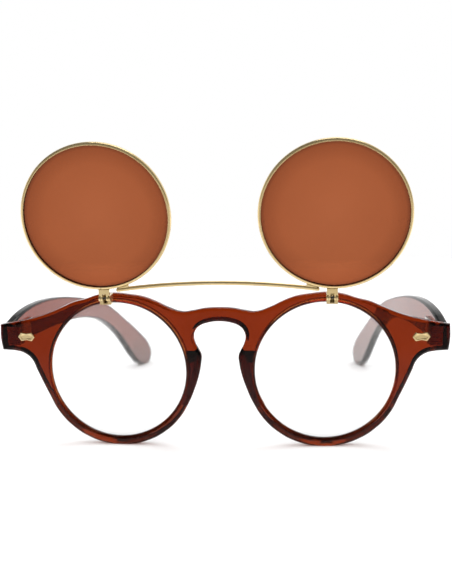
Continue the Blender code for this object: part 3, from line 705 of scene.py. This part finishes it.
def new_piece(
    node, mesh, look, place, body, cuts=(), joined=(), edge=0.0, edge_angle=35, segments=3
):
    """One shown piece in place of a CAD node: cut, edged, smoothly shaded and on its body."""
    piece = bpy.data.objects.new(node + "_fine", mesh)
    bpy.context.scene.collection.objects.link(piece)
    bpy.context.view_layer.update()
    boolean(piece, cuts)
    if edge:
        bevel = piece.modifiers.new("edge", "BEVEL")
        bevel.width = edge
        bevel.segments = segments
        bevel.limit_method = "ANGLE"
        bevel.angle_limit = math.radians(edge_angle)
        bpy.context.view_layer.update()
        apply_modifiers(piece)
    if joined:
        boolean(piece, joined, "UNION")
    piece.data.materials.clear()
    piece.data.materials.append(LOOKS[look])
    if look in ROUND_LOOKS:
        piece.matrix_world = place
    else:
        piece.data.transform(place)
    piece.data.shade_smooth()
    piece.data.set_sharp_from_angle(angle=math.radians(38))
    weighted = piece.modifiers.new("normals", "WEIGHTED_NORMAL")
    weighted.keep_sharp = True
    weighted.weight = 80
    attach(piece, BODY[body])
    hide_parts(node)
    return piece


# Plastic front


def front_outline():
    eye = (EYE_X, EYE_Z)
    half = smooth_points(in_mm((0, 20.4), (4.2, 20.2), (8, 19.5), (11.5, 19.1), (16, 20.5)))
    half += smooth_points(in_mm((20, 22.4), (24, 23.85)))
    half += smooth_points(arc((EYE_X, 0), RIM_RADIUS, 100, 66, 4))
    half += smooth_points(in_mm((46.5, 21.9), (50.5, 20.15), (55, 18.2), (60, 16.5)))
    half += smooth_points(in_mm((65, 15.3)))
    half += corner(69.5, 14.4) + corner(71.8, 13.9) + corner(71.93, 11.8)
    half += smooth_points(in_mm((71.95, 9.9)))
    half += corner(71.76, 7.8) + corner(71.4, 5.6) + corner(69.2, 5.52)
    half += smooth_points(in_mm((67, 5.4), (64.2, 4.75), (61.6, 2.7), (60, -0.8), (58, -5.2)))
    half += smooth_points(arc(eye, RIM_RADIUS, -20, -156, 10))
    half += smooth_points(in_mm((8.1, -5.5), (6.8, -1.5), (6.0, 2.5), (5.85, 5), (6.5, 6.6)))
    half += smooth_points(in_mm((7.6, 8.8), (8.1, 11), (7.7, 12.8), (6.4, 14.4), (3.5, 15.6)))
    half += smooth_points(in_mm((0, 16.0)))
    return mirrored(half)


def cut_in_strips(mesh, axis, positions):
    """Gives a flat-sided mesh a row of cross edges at each position along an axis."""
    shape = bmesh.new()
    shape.from_mesh(mesh)
    bmesh.ops.dissolve_limit(
        shape, angle_limit=math.radians(0.2), verts=shape.verts[:], edges=shape.edges[:]
    )
    for position in positions:
        bmesh.ops.bisect_plane(
            shape,
            geom=shape.verts[:] + shape.edges[:] + shape.faces[:],
            plane_co=[position * part for part in axis],
            plane_no=axis,
            dist=WELD,
        )
    return shape


def lens_place(sign):
    """Middle of a clear lens's edge, and the turn that lays its axis along the front's normal."""
    middle = Matrix.Translation((sign * EYE_X, wrap(EYE_X) + GROOVE_DEPTH_BACK, EYE_Z))
    return middle @ Matrix.Rotation(sign * wrap_angle(EYE_X), 4, "Z") @ LAID_BACK


def lens_groove(sign):
    inner, half = OPENING_RADIUS - OVERCUT, GROOVE_WIDTH / 2
    profile = [(inner, half), (GROOVE_RADIUS, half), (GROOVE_RADIUS, -half), (inner, -half)]
    mesh = turned_mesh("groove", profile, closed=True)
    mesh.transform(lens_place(sign))
    return mesh


def leaf_pocket(sign):
    gap = POCKET_GAP
    low_x, high_x = sorted((sign * (HINGE_PLATE_INNER - gap), sign * (HINGE_PLATE_OUTER + gap)))
    low = (low_x, HINGE_PLATE_FRONT - gap, HINGE_BOTTOM - gap)
    high = (high_x, 3 * MM, HINGE_TOP + gap)
    return moved(box_mesh("pocket", (low, high)), sign * PIVOT_X, PIVOT_Y, 0)


def plaque_place(sign):
    middle = Matrix.Translation((sign * PLAQUE_X, wrap(PLAQUE_X) - PLAQUE_GAP, PLAQUE_Z))
    return middle @ Matrix.Rotation(sign * wrap_angle(PLAQUE_X), 4, "Z")


def plaque_rods(radius, length, top):
    """Two pins that run back from a plaque."""
    rod = turned_mesh("rod", [(0, top), (radius, top), (radius, -length), (0, -length)], steps=32)
    shape = bmesh.new()
    for x in (-PLAQUE_PIN_SPREAD, PLAQUE_PIN_SPREAD):
        twin = rod.copy()
        shape.from_mesh(moved(twin, x, 0, 0))
        bpy.data.meshes.remove(twin)
    bpy.data.meshes.remove(rod)
    mesh = finish_mesh("rods", shape)
    mesh.transform(LAID_BACK)
    return mesh


def plaque_holes(sign):
    mesh = plaque_rods(PLAQUE_PIN_RADIUS + 0.1 * MM, PLAQUE_PIN_LENGTH + 0.2 * MM, OVERCUT)
    mesh.transform(plaque_place(sign))
    return mesh


def base_screw_span():
    """Front and rear end of the base screw's shank, along its own axis."""
    return BASE_SCREW_FRONT - wrap(FLIP_X), -BASE_SCREW_TAIL


def base_screw_hole(clearance):
    front, tail = base_screw_span()
    radius, tail = BASE_SCREW_RADIUS + clearance, tail - clearance
    profile = [(0, front), (radius, front), (radius, tail), (0, tail)]
    mesh = turned_mesh("screw_hole", profile, steps=32)
    mesh.transform(LAID_BACK)
    return moved(mesh, 0, 0, -BASE_SCREW_DROP)


def table_cutter(place):
    """Everything below the table, in the frame of the piece that it trims."""
    mesh = box_mesh("below_table", ((-0.2, -0.2, -0.05), (0.2, 0.3, 0.0)))
    mesh.transform(place.inverted())
    return mesh


def edge_depth(y):
    """Turns evenly rounded edges into soft ones at the front and chamfers at the back."""
    inner = FRONT_THICKNESS - FRONT_BEVEL
    if y < FRONT_BEVEL:
        return y * FRONT_EDGE_SOFTNESS
    if y > inner - 0.01 * MM:
        share = min(max(y - inner, 0) / FRONT_BEVEL, 1.0)
        return FRONT_THICKNESS - BACK_CHAMFER * math.sqrt(1 - share * share)
    return y


def frame_front():
    """The plastic front, bowed back and cut out for all that is set into it."""
    openings = [circle((sign * EYE_X, EYE_Z), OPENING_RADIUS) for _, sign in SIDES]
    flat = plate_mesh("front", [front_outline()] + openings, FRONT_THICKNESS, FRONT_BEVEL)
    moved(flat, 0, FRONT_THICKNESS / 2, 0)
    half_count = int(HALF_WIDTH / WRAP_STEP)
    steps = [i * WRAP_STEP for i in range(-half_count, half_count + 1)]
    for vertex in flat.vertices:
        vertex.co.y = edge_depth(vertex.co.y)
    shape = cut_in_strips(flat, (1, 0, 0), steps)
    everything = shape.verts[:] + shape.edges[:] + shape.faces[:]
    bmesh.ops.symmetrize(shape, input=everything, direction="-X", dist=WELD)
    for vertex in shape.verts:
        vertex.co.y += wrap(vertex.co.x)
    cuts = [table_cutter(FRONT)]
    for _, sign in SIDES:
        screw_hole = moved(base_screw_hole(POCKET_GAP), sign * FLIP_X, 0, FLIP_AXIS_Z)
        cuts += [lens_groove(sign), leaf_pocket(sign), plaque_holes(sign), screw_hole]
    new_piece("frame_front", finish_mesh("front", shape), "brown_plastic", FRONT, "front", cuts)


def lens_profile(radius, thickness, curve_radius, edge, count=14):
    """Half section of a curved lens with small chamfers at both sides of its edge."""
    surface = []
    for i in range(count):
        r = (radius - edge) * i / (count - 1)
        crown = math.sqrt(curve_radius**2 - r**2) - math.sqrt(curve_radius**2 - radius**2)
        surface.append((r, crown))
    top = [(r, h + thickness / 2) for r, h in surface]
    bottom = [(r, h - thickness / 2) for r, h in reversed(surface)]
    rim = [(radius, thickness / 2 - edge), (radius, edge - thickness / 2)]
    return top + rim + bottom


def clear_lens(side, sign):
    sizes = (CLEAR_LENS_RADIUS, CLEAR_LENS_THICKNESS, CLEAR_LENS_CURVE, CLEAR_LENS_CHAMFER)
    mesh = turned_mesh("clear_lens", lens_profile(*sizes))
    new_piece("clear_lens_" + side, mesh, "clear_lens", FRONT @ lens_place(sign), "front")


def rivet_plaque(side, sign):
    """Six-sided plaque with hollowed long edges and a sunk field, on the two pins that hold it."""
    outline = in_mm((-2.85, 0), (-1.8, 1.4), (0, 1.05), (1.8, 1.4))
    outline += in_mm((2.85, 0), (1.8, -1.4), (0, -1.05), (-1.8, -1.4))
    plate = plate_mesh("plaque", [outline[::-1]], PLAQUE_THICKNESS, PLAQUE_EDGE, rounding=3)
    moved(plate, 0, -PLAQUE_THICKNESS / 2, 0)
    field = [(PLAQUE_FIELD_WIDTH * x, PLAQUE_FIELD_HEIGHT * z) for x, z in outline[::-1]]
    recess = plate_mesh("recess", [field], 2 * PLAQUE_FIELD_DEPTH)
    moved(recess, 0, -PLAQUE_THICKNESS, 0)
    place = FRONT @ plaque_place(sign)
    pins = plaque_rods(PLAQUE_PIN_RADIUS, PLAQUE_PIN_LENGTH, 0.2 * MM)
    name = "rivet_plaque_" + side
    new_piece(name, plate, "gold", place, "front", [recess], [pins], edge=0.05 * MM, segments=2)


def nose_edge(z):
    """Where a pad starts beside the nose, at height z."""
    return PAD_NOSE_X + PAD_NOSE_FLARE * (z - PAD_NOSE_Z) ** 2


def lens_side_edge(z):
    """Where a pad ends beside the eye opening, at height z."""
    return EYE_X - math.sqrt(OPENING_RADIUS**2 - (z - EYE_Z) ** 2) - PAD_LENS_MARGIN


def pad_loop(share, stations=24):
    """Outline of a pad at a share of its depth, from its foot on the front to its crown."""
    top = PAD_TOP + (PAD_CROWN_TOP - PAD_TOP) * share
    bottom = PAD_BOTTOM + (PAD_CROWN_BOTTOM - PAD_BOTTOM) * share
    heights = [top + (bottom - top) * i / (stations - 1) for i in range(stations)]
    nose = [(nose_edge(z) + PAD_SLANT * share, z) for z in heights]
    lens = [(lens_side_edge(z) - PAD_LENS_SLANT * share, z) for z in reversed(heights)]
    return nose + lens


def nose_pad(side, sign, layers=6):
    """A pad on the back of the front, with a slanted face towards the nose and a sloping top."""
    back_of_front = FRONT_THICKNESS + wrap(PAD_REACH_X) + PAD_GAP
    shape = bmesh.new()
    loops = []
    for layer in range(layers):
        share = layer / (layers - 1)
        y = back_of_front + PAD_DEPTH * share
        loops.append([shape.verts.new((sign * x, y, z)) for x, z in pad_loop(share)])
    shape.faces.new(loops[0])
    shape.faces.new(loops[-1])
    for first, second in zip(loops, loops[1:]):
        count = len(first)
        for i in range(count):
            j = (i + 1) % count
            shape.faces.new((first[i], first[j], second[j], second[i]))
    mesh = finish_mesh("pad", shape)
    name = "nose_pad_" + side
    new_piece(name, mesh, "brown_plastic", FRONT, "front", edge=PAD_EDGE, edge_angle=30, segments=4)


# Temple hinges


def barrel_levels(first):
    """Bottom and top of every second barrel, starting from barrel number first."""
    bottoms = [HINGE_BOTTOM + i * BARREL_PITCH for i in range(first, HINGE_BARRELS, 2)]
    return [(bottom, bottom + BARREL_HEIGHT) for bottom in bottoms]


def hinge_leaf(name, outline, slot_levels, slot_edge, sign, place, body):
    """A leaf with barrels: its plan outline raised to full height, less the other's barrels."""
    loop = [(sign * x, y) for x, y in outline]
    mesh = plate_mesh(name, [loop, circle((0, 0), HINGE_BORE, 40)], HINGE_HEIGHT, plane="XY")
    moved(mesh, 0, 0, HINGE_BOTTOM + HINGE_HEIGHT / 2)
    reach = 5 * MM
    low_y, high_y = slot_edge
    slots = [
        ((-reach, low_y, bottom - BARREL_GAP), (reach, high_y, top + BARREL_GAP))
        for bottom, top in slot_levels
    ]
    cuts = [box_mesh(name + "_slots", *slots)]
    new_piece(name, mesh, "steel", place, body, cuts, edge=HINGE_LEAF_EDGE, segments=2)


def front_hinge_leaf(side, sign):
    """Three barrels on a plate that is sunk into the back of the end piece."""
    outline = [(HINGE_PLATE_INNER, HINGE_PLATE_FRONT), (HINGE_PLATE_OUTER, HINGE_PLATE_FRONT)]
    outline += [(HINGE_PLATE_OUTER, HINGE_PLATE_BACK), (1.0 * MM, HINGE_PLATE_BACK)]
    outline += arc((0, 0), BARREL_RADIUS, -48, 233, 40)
    place = FRONT @ Matrix.Translation((sign * PIVOT_X, PIVOT_Y, 0))
    slot_edge = (HINGE_PLATE_BACK + 0.1 * MM, 3 * MM)
    name = "front_hinge_leaf_" + side
    hinge_leaf(name, outline, barrel_levels(1), slot_edge, sign, place, "front")


def temple_hinge_leaf(side, sign):
    """Two barrels on a plate along the inside of the temple."""
    inner, outer, end = 0.75 * MM, TEMPLE_INNER_FACE - 0.05 * MM, 11.5 * MM
    outline = [(outer, end), (inner, end), (inner, 1.9 * MM)]
    outline += arc((0, 0), BARREL_RADIUS, 78, 350, 40)
    outline += in_mm((1.48, 1.85)) + [(outer, 2.1 * MM)]
    slot_edge = (-3 * MM, 1.75 * MM)
    name = "temple_hinge_leaf_" + side
    hinge_leaf(name, outline, barrel_levels(0), slot_edge, sign, TEMPLE_PIVOT[side], side)


def screw_profile(shank, head, crown, slope, top, seat, tail):
    """Half section of a screw of these radii and heights; crown is the flat share of its head."""
    over = [(0, top), (crown * head, top), (head, top - slope), (head, seat)]
    return over + [(shank, seat), (shank, tail), (0, tail)]


def screw_slot(half, floor, reach):
    """Cutter for the slot across a screw's head."""
    return box_mesh("slot", ((-reach, -half, floor), (reach, half, floor + reach)))


def temple_hinge_screw(side, sign):
    seat, top = HINGE_TOP + HINGE_SCREW_SEAT, HINGE_TOP + HINGE_SCREW_TOP
    ends = {"top": top, "seat": seat, "tail": HINGE_BOTTOM - 0.2 * MM}
    profile = screw_profile(HINGE_SCREW_RADIUS, HINGE_SCREW_HEAD, crown=0.8, slope=0.25 * MM, **ends)
    mesh = turned_mesh("screw", profile, steps=48)
    slot = screw_slot(HINGE_SCREW_SLOT_HALF, floor=top - 0.3 * MM, reach=2 * MM)
    place = FRONT @ Matrix.Translation((sign * PIVOT_X, PIVOT_Y, 0))
    name = "temple_hinge_screw_" + side
    new_piece(name, mesh, "steel", place, "front", [slot], edge=0.06 * MM, segments=2)


# Temples


def temple_outline():
    """Side view of a temple: (distance behind the pivot, height in the front's frame)."""
    outline = corner(-1.5, 13.9) + corner(0.5, 14.4)
    outline += smooth_points(in_mm((4, 15.2), (11, 16.0), (20, 16.1), (30, 15.4), (44, 13.4)))
    outline += smooth_points(in_mm((60, 10.1), (78, 5.6), (93, 1.0), (106, -5.0), (117, -11.0)))
    outline += smooth_points(in_mm((129, -17.8), (139, -24.0), (146, -29.3), (149.4, -34.4)))
    outline += smooth_points(in_mm((147.4, -38.3), (142, -39.0), (135, -37.0), (127, -31.8)))
    outline += smooth_points(in_mm((118, -24.2), (109, -17.0), (99, -10.8), (88, -5.6)))
    outline += smooth_points(in_mm((76, -1.8), (60, 1.6), (40, 4.0), (20, 5.2), (6, 5.6)))
    outline += corner(0.5, 5.6) + corner(-1.5, 5.6)
    return outline


def temple(side, sign):
    """A plate cut to its side view, whose rear part bends inwards."""
    mesh = plate_mesh("temple", [temple_outline()], TEMPLE_THICKNESS, TEMPLE_BEVEL, "YZ")
    bends = range(int(TEMPLE_BEND_LENGTH / TEMPLE_BEND_STEP))
    steps = [TEMPLE_BEND_START + i * TEMPLE_BEND_STEP for i in bends]
    shape = cut_in_strips(mesh, (0, 1, 0), steps)
    middle = sign * (TEMPLE_INNER_FACE + TEMPLE_THICKNESS / 2)
    for vertex in shape.verts:
        past = max(vertex.co.y - TEMPLE_BEND_START, 0)
        vertex.co.x += middle - sign * TEMPLE_BEND * past * past
    place = TEMPLE_PIVOT[side]
    cuts = [table_cutter(place)]
    new_piece("temple_" + side, finish_mesh("temple", shape), "brown_plastic", place, side, cuts)


# Flip-up front


def flip_rim(side, sign):
    """A wire ring, rounded outside, grooved inside for the lens and split at its closing seam."""
    half, lip = FLIP_RIM_DEPTH / 2, FLIP_GROOVE_WIDTH / 2
    corners = [
        (FLIP_RIM_INNER, half),
        (FLIP_RIM_RADIUS, half),
        (FLIP_RIM_RADIUS, -half),
        (FLIP_RIM_INNER, -half),
        (FLIP_RIM_INNER, -lip),
        (FLIP_GROOVE_RADIUS, -lip),
        (FLIP_GROOVE_RADIUS, lip),
        (FLIP_RIM_INNER, lip),
    ]
    inner, outer, lip_edge = RIM_INNER_ROUNDING, RIM_OUTER_ROUNDING, RIM_LIP_ROUNDING
    profile = rounded_profile(corners, (inner, outer, outer, inner, lip_edge, 0, 0, lip_edge))
    mesh = turned_mesh("rim", profile, closed=True, steps=2 * TURN_STEPS)
    low = (-RIM_SEAM / 2, -FLIP_RIM_RADIUS - OVERCUT, -FLIP_RIM_DEPTH)
    high = (RIM_SEAM / 2, -FLIP_RIM_INNER + OVERCUT, FLIP_RIM_DEPTH)
    seam = box_mesh("seam", (low, high))
    place = FLIP @ Matrix.Translation((sign * DISC_X, 0, DISC_RISE)) @ LAID_BACK
    new_piece("flip_rim_" + side, mesh, "gold", place, "flip", [seam])


def sun_lens(side, sign):
    """A curved lens whose crowned side looks back when the front is flipped up."""
    sizes = (SUN_LENS_RADIUS, SUN_LENS_THICKNESS, SUN_LENS_CURVE, SUN_LENS_CHAMFER)
    mesh = turned_mesh("sun_lens", lens_profile(*sizes))
    place = FLIP @ Matrix.Translation((sign * DISC_X, 0, DISC_RISE)) @ LAID_BACK.inverted()
    new_piece("sun_lens_" + side, mesh, "sun_lens", place, "flip")


def bar_height(x):
    return BAR_RISE - BAR_ARC_RADIUS + math.sqrt(BAR_ARC_RADIUS**2 - x * x)


def rim_underside(x):
    """Height of the lowest line of a wire rim at x, on the side towards the nose."""
    return DISC_RISE - math.sqrt(FLIP_RIM_RADIUS**2 - (x - DISC_X) ** 2)


def bar_ring(shape, x, radius, sides=24):
    slope = -x / math.sqrt(BAR_ARC_RADIUS**2 - x * x)
    along = Vector((1, 0, slope)).normalized()
    across = along.cross(Vector((0, 1, 0)))
    ring = []
    for i in range(sides):
        angle = 2 * math.pi * i / sides
        offset = Vector((0, math.cos(angle), 0)) + across * math.sin(angle)
        ring.append(shape.verts.new(Vector((x, 0, bar_height(x))) + offset * radius))
    return ring


def flip_bridge_bar(count=97, end_steps=5):
    """A round bar along a shallow arc with rounded ends, soldered below both rims."""
    shape = bmesh.new()
    inner = BAR_HALF_SPAN - BAR_RADIUS
    ends = []
    for i in range(end_steps):
        angle = math.pi / 2 * i / end_steps
        ends.append((inner + BAR_RADIUS * math.sin(angle), BAR_RADIUS * math.cos(angle)))
    middle = [(inner * (2 * i / (count - 1) - 1), BAR_RADIUS) for i in range(1, count - 1)]
    stations = [(-x, r) for x, r in reversed(ends)] + middle + ends
    rings = [bar_ring(shape, x, radius) for x, radius in stations]
    for first, second in zip(rings, rings[1:]):
        for i in range(len(first)):
            j = (i + 1) % len(first)
            shape.faces.new((first[i], first[j], second[j], second[i]))
    shape.faces.new(rings[0])
    shape.faces.new(rings[-1])
    new_piece("flip_bridge_bar", finish_mesh("bar", shape), "gold", FLIP, "flip")


def bar_lug(side, sign):
    """A small wedge that fills the angle between the end of the bar and the rim above it."""
    count = 16
    span = BAR_LUG_OUTER_END - BAR_LUG_INNER_END
    stations = [BAR_LUG_INNER_END + i * span / (count - 1) for i in range(count)]
    under = [(x, bar_height(x) + 0.8 * BAR_RADIUS) for x in stations]
    over = [(x, rim_underside(x) + BAR_LUG_OVERLAP) for x in stations]
    outline = [(sign * x, z) for x, z in under + over[::-1]]
    mesh = plate_mesh("lug", [outline], BAR_LUG_DEPTH, BAR_LUG_EDGE)
    new_piece("bar_lug_" + side, mesh, "gold", FLIP, "flip")


def flip_hinge_leaf(side, sign):
    """Upper half of a flip hinge: two lugs on the pin below a block soldered to the rim."""
    half = LEAF_HALF_DEPTH
    meet = math.degrees(math.acos(half / KNUCKLE_RADIUS))
    outline = [(half, LEAF_TOP), (-half, LEAF_TOP)]
    outline += arc((0, 0), KNUCKLE_RADIUS, 180 - meet, 360 + meet, 36)
    bore = circle((0, 0), PIN_BORE, 32)
    mesh = plate_mesh("leaf", [outline, bore], 2 * LEAF_HALF_WIDTH, plane="YZ")
    reach = LEAF_HALF_WIDTH + OVERCUT
    reliefs = box_mesh(
        "reliefs",
        ((-LUG_INNER, -reach, -reach), (LUG_INNER, reach, LEAF_ROOF)),
        ((LUG_OUTER, -reach, -reach), (reach, reach, LEAF_SHOULDER)),
        ((-reach, -reach, -reach), (-LUG_OUTER, reach, LEAF_SHOULDER)),
    )
    place = FLIP @ Matrix.Translation((sign * FLIP_X, 0, 0))
    new_piece("flip_hinge_leaf_" + side, mesh, "gold", place, "flip", [reliefs], edge=0.1 * MM)


def flip_hinge_base(side, sign):
    """Lower half of a flip hinge: a bracket on the front with an ear at each side of the lugs."""
    back = wrap(FLIP_X - BASE_HALF_WIDTH) - FLIP_AXIS_Y - BASE_GAP
    step = KNUCKLE_RADIUS + KNUCKLE_GAP
    outline = arc((0, 0), KNUCKLE_RADIUS, 95, 285, 30)
    outline += [(step, BASE_STEP_TOP), (step, BASE_FLOOR_BOTTOM), (back, BASE_FLOOR_BOTTOM)]
    outline += [(back, BASE_PLATE_TOP)]
    bore = circle((0, 0), PIN_BORE, 32)
    mesh = plate_mesh("base", [outline, bore], 2 * BASE_HALF_WIDTH, plane="YZ")
    place = FRONT @ Matrix.Translation((sign * FLIP_X, FLIP_AXIS_Y, FLIP_AXIS_Z))
    reach, under = 2 * MM, -3 * MM
    slot = ((-BASE_SLOT_HALF, 0, BASE_FLOOR_TOP), (BASE_SLOT_HALF, back - BASE_PLATE, reach))
    bearing_back = step - 0.03 * MM
    bearing = ((-BASE_BEARING_HALF, -reach, under), (BASE_BEARING_HALF, bearing_back, reach))
    hole = moved(base_screw_hole(0.05 * MM), 0, -FLIP_AXIS_Y, 0)
    cuts = [box_mesh("slot", slot), box_mesh("bearing", bearing), hole]
    new_piece("flip_hinge_base_" + side, mesh, "gold", place, "front", cuts, edge=0.08 * MM)


def flip_base_screw(side, sign):
    """Screw whose head lies on the plate of the hinge base."""
    _, tail = base_screw_span()
    seat = BASE_SCREW_SEAT + BASE_PLATE + BASE_GAP - wrap(FLIP_X - BASE_HALF_WIDTH)
    ends = {"top": seat + 0.5 * MM, "seat": seat, "tail": tail}
    profile = screw_profile(BASE_SCREW_RADIUS, BASE_SCREW_HEAD, crown=0.75, slope=0.2 * MM, **ends)
    mesh = turned_mesh("base_screw", profile, steps=40)
    slot = screw_slot(BASE_SCREW_SLOT_HALF, floor=seat + 0.32 * MM, reach=1 * MM)
    place = FRONT @ Matrix.Translation((sign * FLIP_X, 0, FLIP_AXIS_Z - BASE_SCREW_DROP)) @ LAID_BACK
    name = "flip_base_screw_" + side
    new_piece(name, mesh, "gold", place, "front", [slot], edge=0.03 * MM, segments=2)


def flip_hinge_pin(side, sign):
    """Cross pin with slightly domed ends."""
    length, dome = PIN_HALF_LENGTH, 0.08 * MM
    points = [(0, length), (0.6 * PIN_RADIUS, length - 0.25 * dome), (PIN_RADIUS, length - dome)]
    points += [(radius, -height) for radius, height in reversed(points)]
    mesh = turned_mesh("pin", points, steps=40)
    mesh.transform(Matrix.Rotation(math.pi / 2, 4, "Y"))
    place = FRONT @ Matrix.Translation((sign * FLIP_X, FLIP_AXIS_Y, FLIP_AXIS_Z))
    new_piece("flip_hinge_pin_" + side, mesh, "dark_steel", place, "front")


frame_front()
flip_bridge_bar()
for side_name, side_sign in SIDES:
    clear_lens(side_name, side_sign)
    rivet_plaque(side_name, side_sign)
    nose_pad(side_name, side_sign)
    front_hinge_leaf(side_name, side_sign)
    temple_hinge_leaf(side_name, side_sign)
    temple_hinge_screw(side_name, side_sign)
    temple(side_name, side_sign)
    flip_rim(side_name, side_sign)
    sun_lens(side_name, side_sign)
    bar_lug(side_name, side_sign)
    flip_hinge_leaf(side_name, side_sign)
    flip_hinge_base(side_name, side_sign)
    flip_base_screw(side_name, side_sign)
    flip_hinge_pin(side_name, side_sign)


# Floor, light and camera


def floor():
    shape = bmesh.new()
    bmesh.ops.create_grid(shape, x_segments=8, y_segments=8, size=FLOOR_HALF_SIZE)
    mesh = finish_mesh("floor", shape)
    mesh.materials.append(floor_look())
    plane = bpy.data.objects.new("floor", mesh)
    bpy.context.scene.collection.objects.link(plane)


def studio_world():
    """White studio behind the object as it is looked at, and dim on the camera's own side.

    A dark screen above and to the left shows only where a surface mirrors it.
    """
    world = bpy.data.worlds.new("studio")
    bpy.context.scene.world = world
    world.use_nodes = True
    n = Nodes(world.node_tree)
    rightwards, upwards, away = n.split(n.add("ShaderNodeTexCoord").outputs["Camera"])
    path = n.add("ShaderNodeLightPath")
    seen = n.remap(away, CAMERA_SIDE, 1.0, -0.15, 0.3)
    above = n.remap(upwards, 0.0, 1.0, 0.3, 0.5)
    left = n.remap(rightwards, 1.0, 0.0, 0.1, 0.3)
    flag = n.math("MULTIPLY", n.math("MULTIPLY", above, left), n.mirrored_ray(path))
    flag = n.math("MULTIPLY", flag, n.remap(away, 1.0, 0.0, 0.5, 0.8))
    seen = n.remap(flag, seen, DARK_FLAG, 0.0, 1.0)
    strength = n.remap(path.outputs["Is Diffuse Ray"], seen, TABLE_LIGHT, 0.0, 1.0)
    background = n.add("ShaderNodeBackground")
    n.link((1.0, 1.0, 1.0), background.inputs["Color"])
    n.link(strength, background.inputs["Strength"])
    n.link(background.outputs[0], n.add("ShaderNodeOutputWorld").inputs["Surface"])


def soft_sun():
    light = bpy.data.lights.new("sun", "SUN")
    light.energy = SUN_STRENGTH
    light.angle = SUN_SPREAD
    lamp = bpy.data.objects.new("sun", light)
    lamp.rotation_euler = SUN_TURN
    bpy.context.scene.collection.objects.link(lamp)


def camera():
    data = bpy.data.cameras.new("camera")
    data.lens = CAMERA_LENS
    data.sensor_width = CAMERA_SENSOR
    data.clip_start = 0.01
    eye = bpy.data.objects.new("camera", data)
    bpy.context.scene.collection.objects.link(eye)
    turn = Matrix.Rotation(CAMERA_YAW, 4, "Z") @ Matrix.Rotation(CAMERA_PITCH, 4, "X")
    turn = turn @ Matrix.Rotation(CAMERA_ROLL, 4, "Y")
    eye.matrix_world = FRONT @ Matrix.Translation(CAMERA_PLACE) @ turn @ LAID_BACK
    focus = bpy.data.objects.new("focus", None)
    focus.matrix_world = FRONT
    bpy.context.scene.collection.objects.link(focus)
    data.dof.use_dof = True
    data.dof.focus_object = focus
    data.dof.aperture_fstop = CAMERA_APERTURE
    bpy.context.scene.camera = eye


floor()
studio_world()
soft_sun()
camera()
bpy.context.scene.view_settings.view_transform = "Standard"
bpy.context.scene.cycles.use_denoising = True
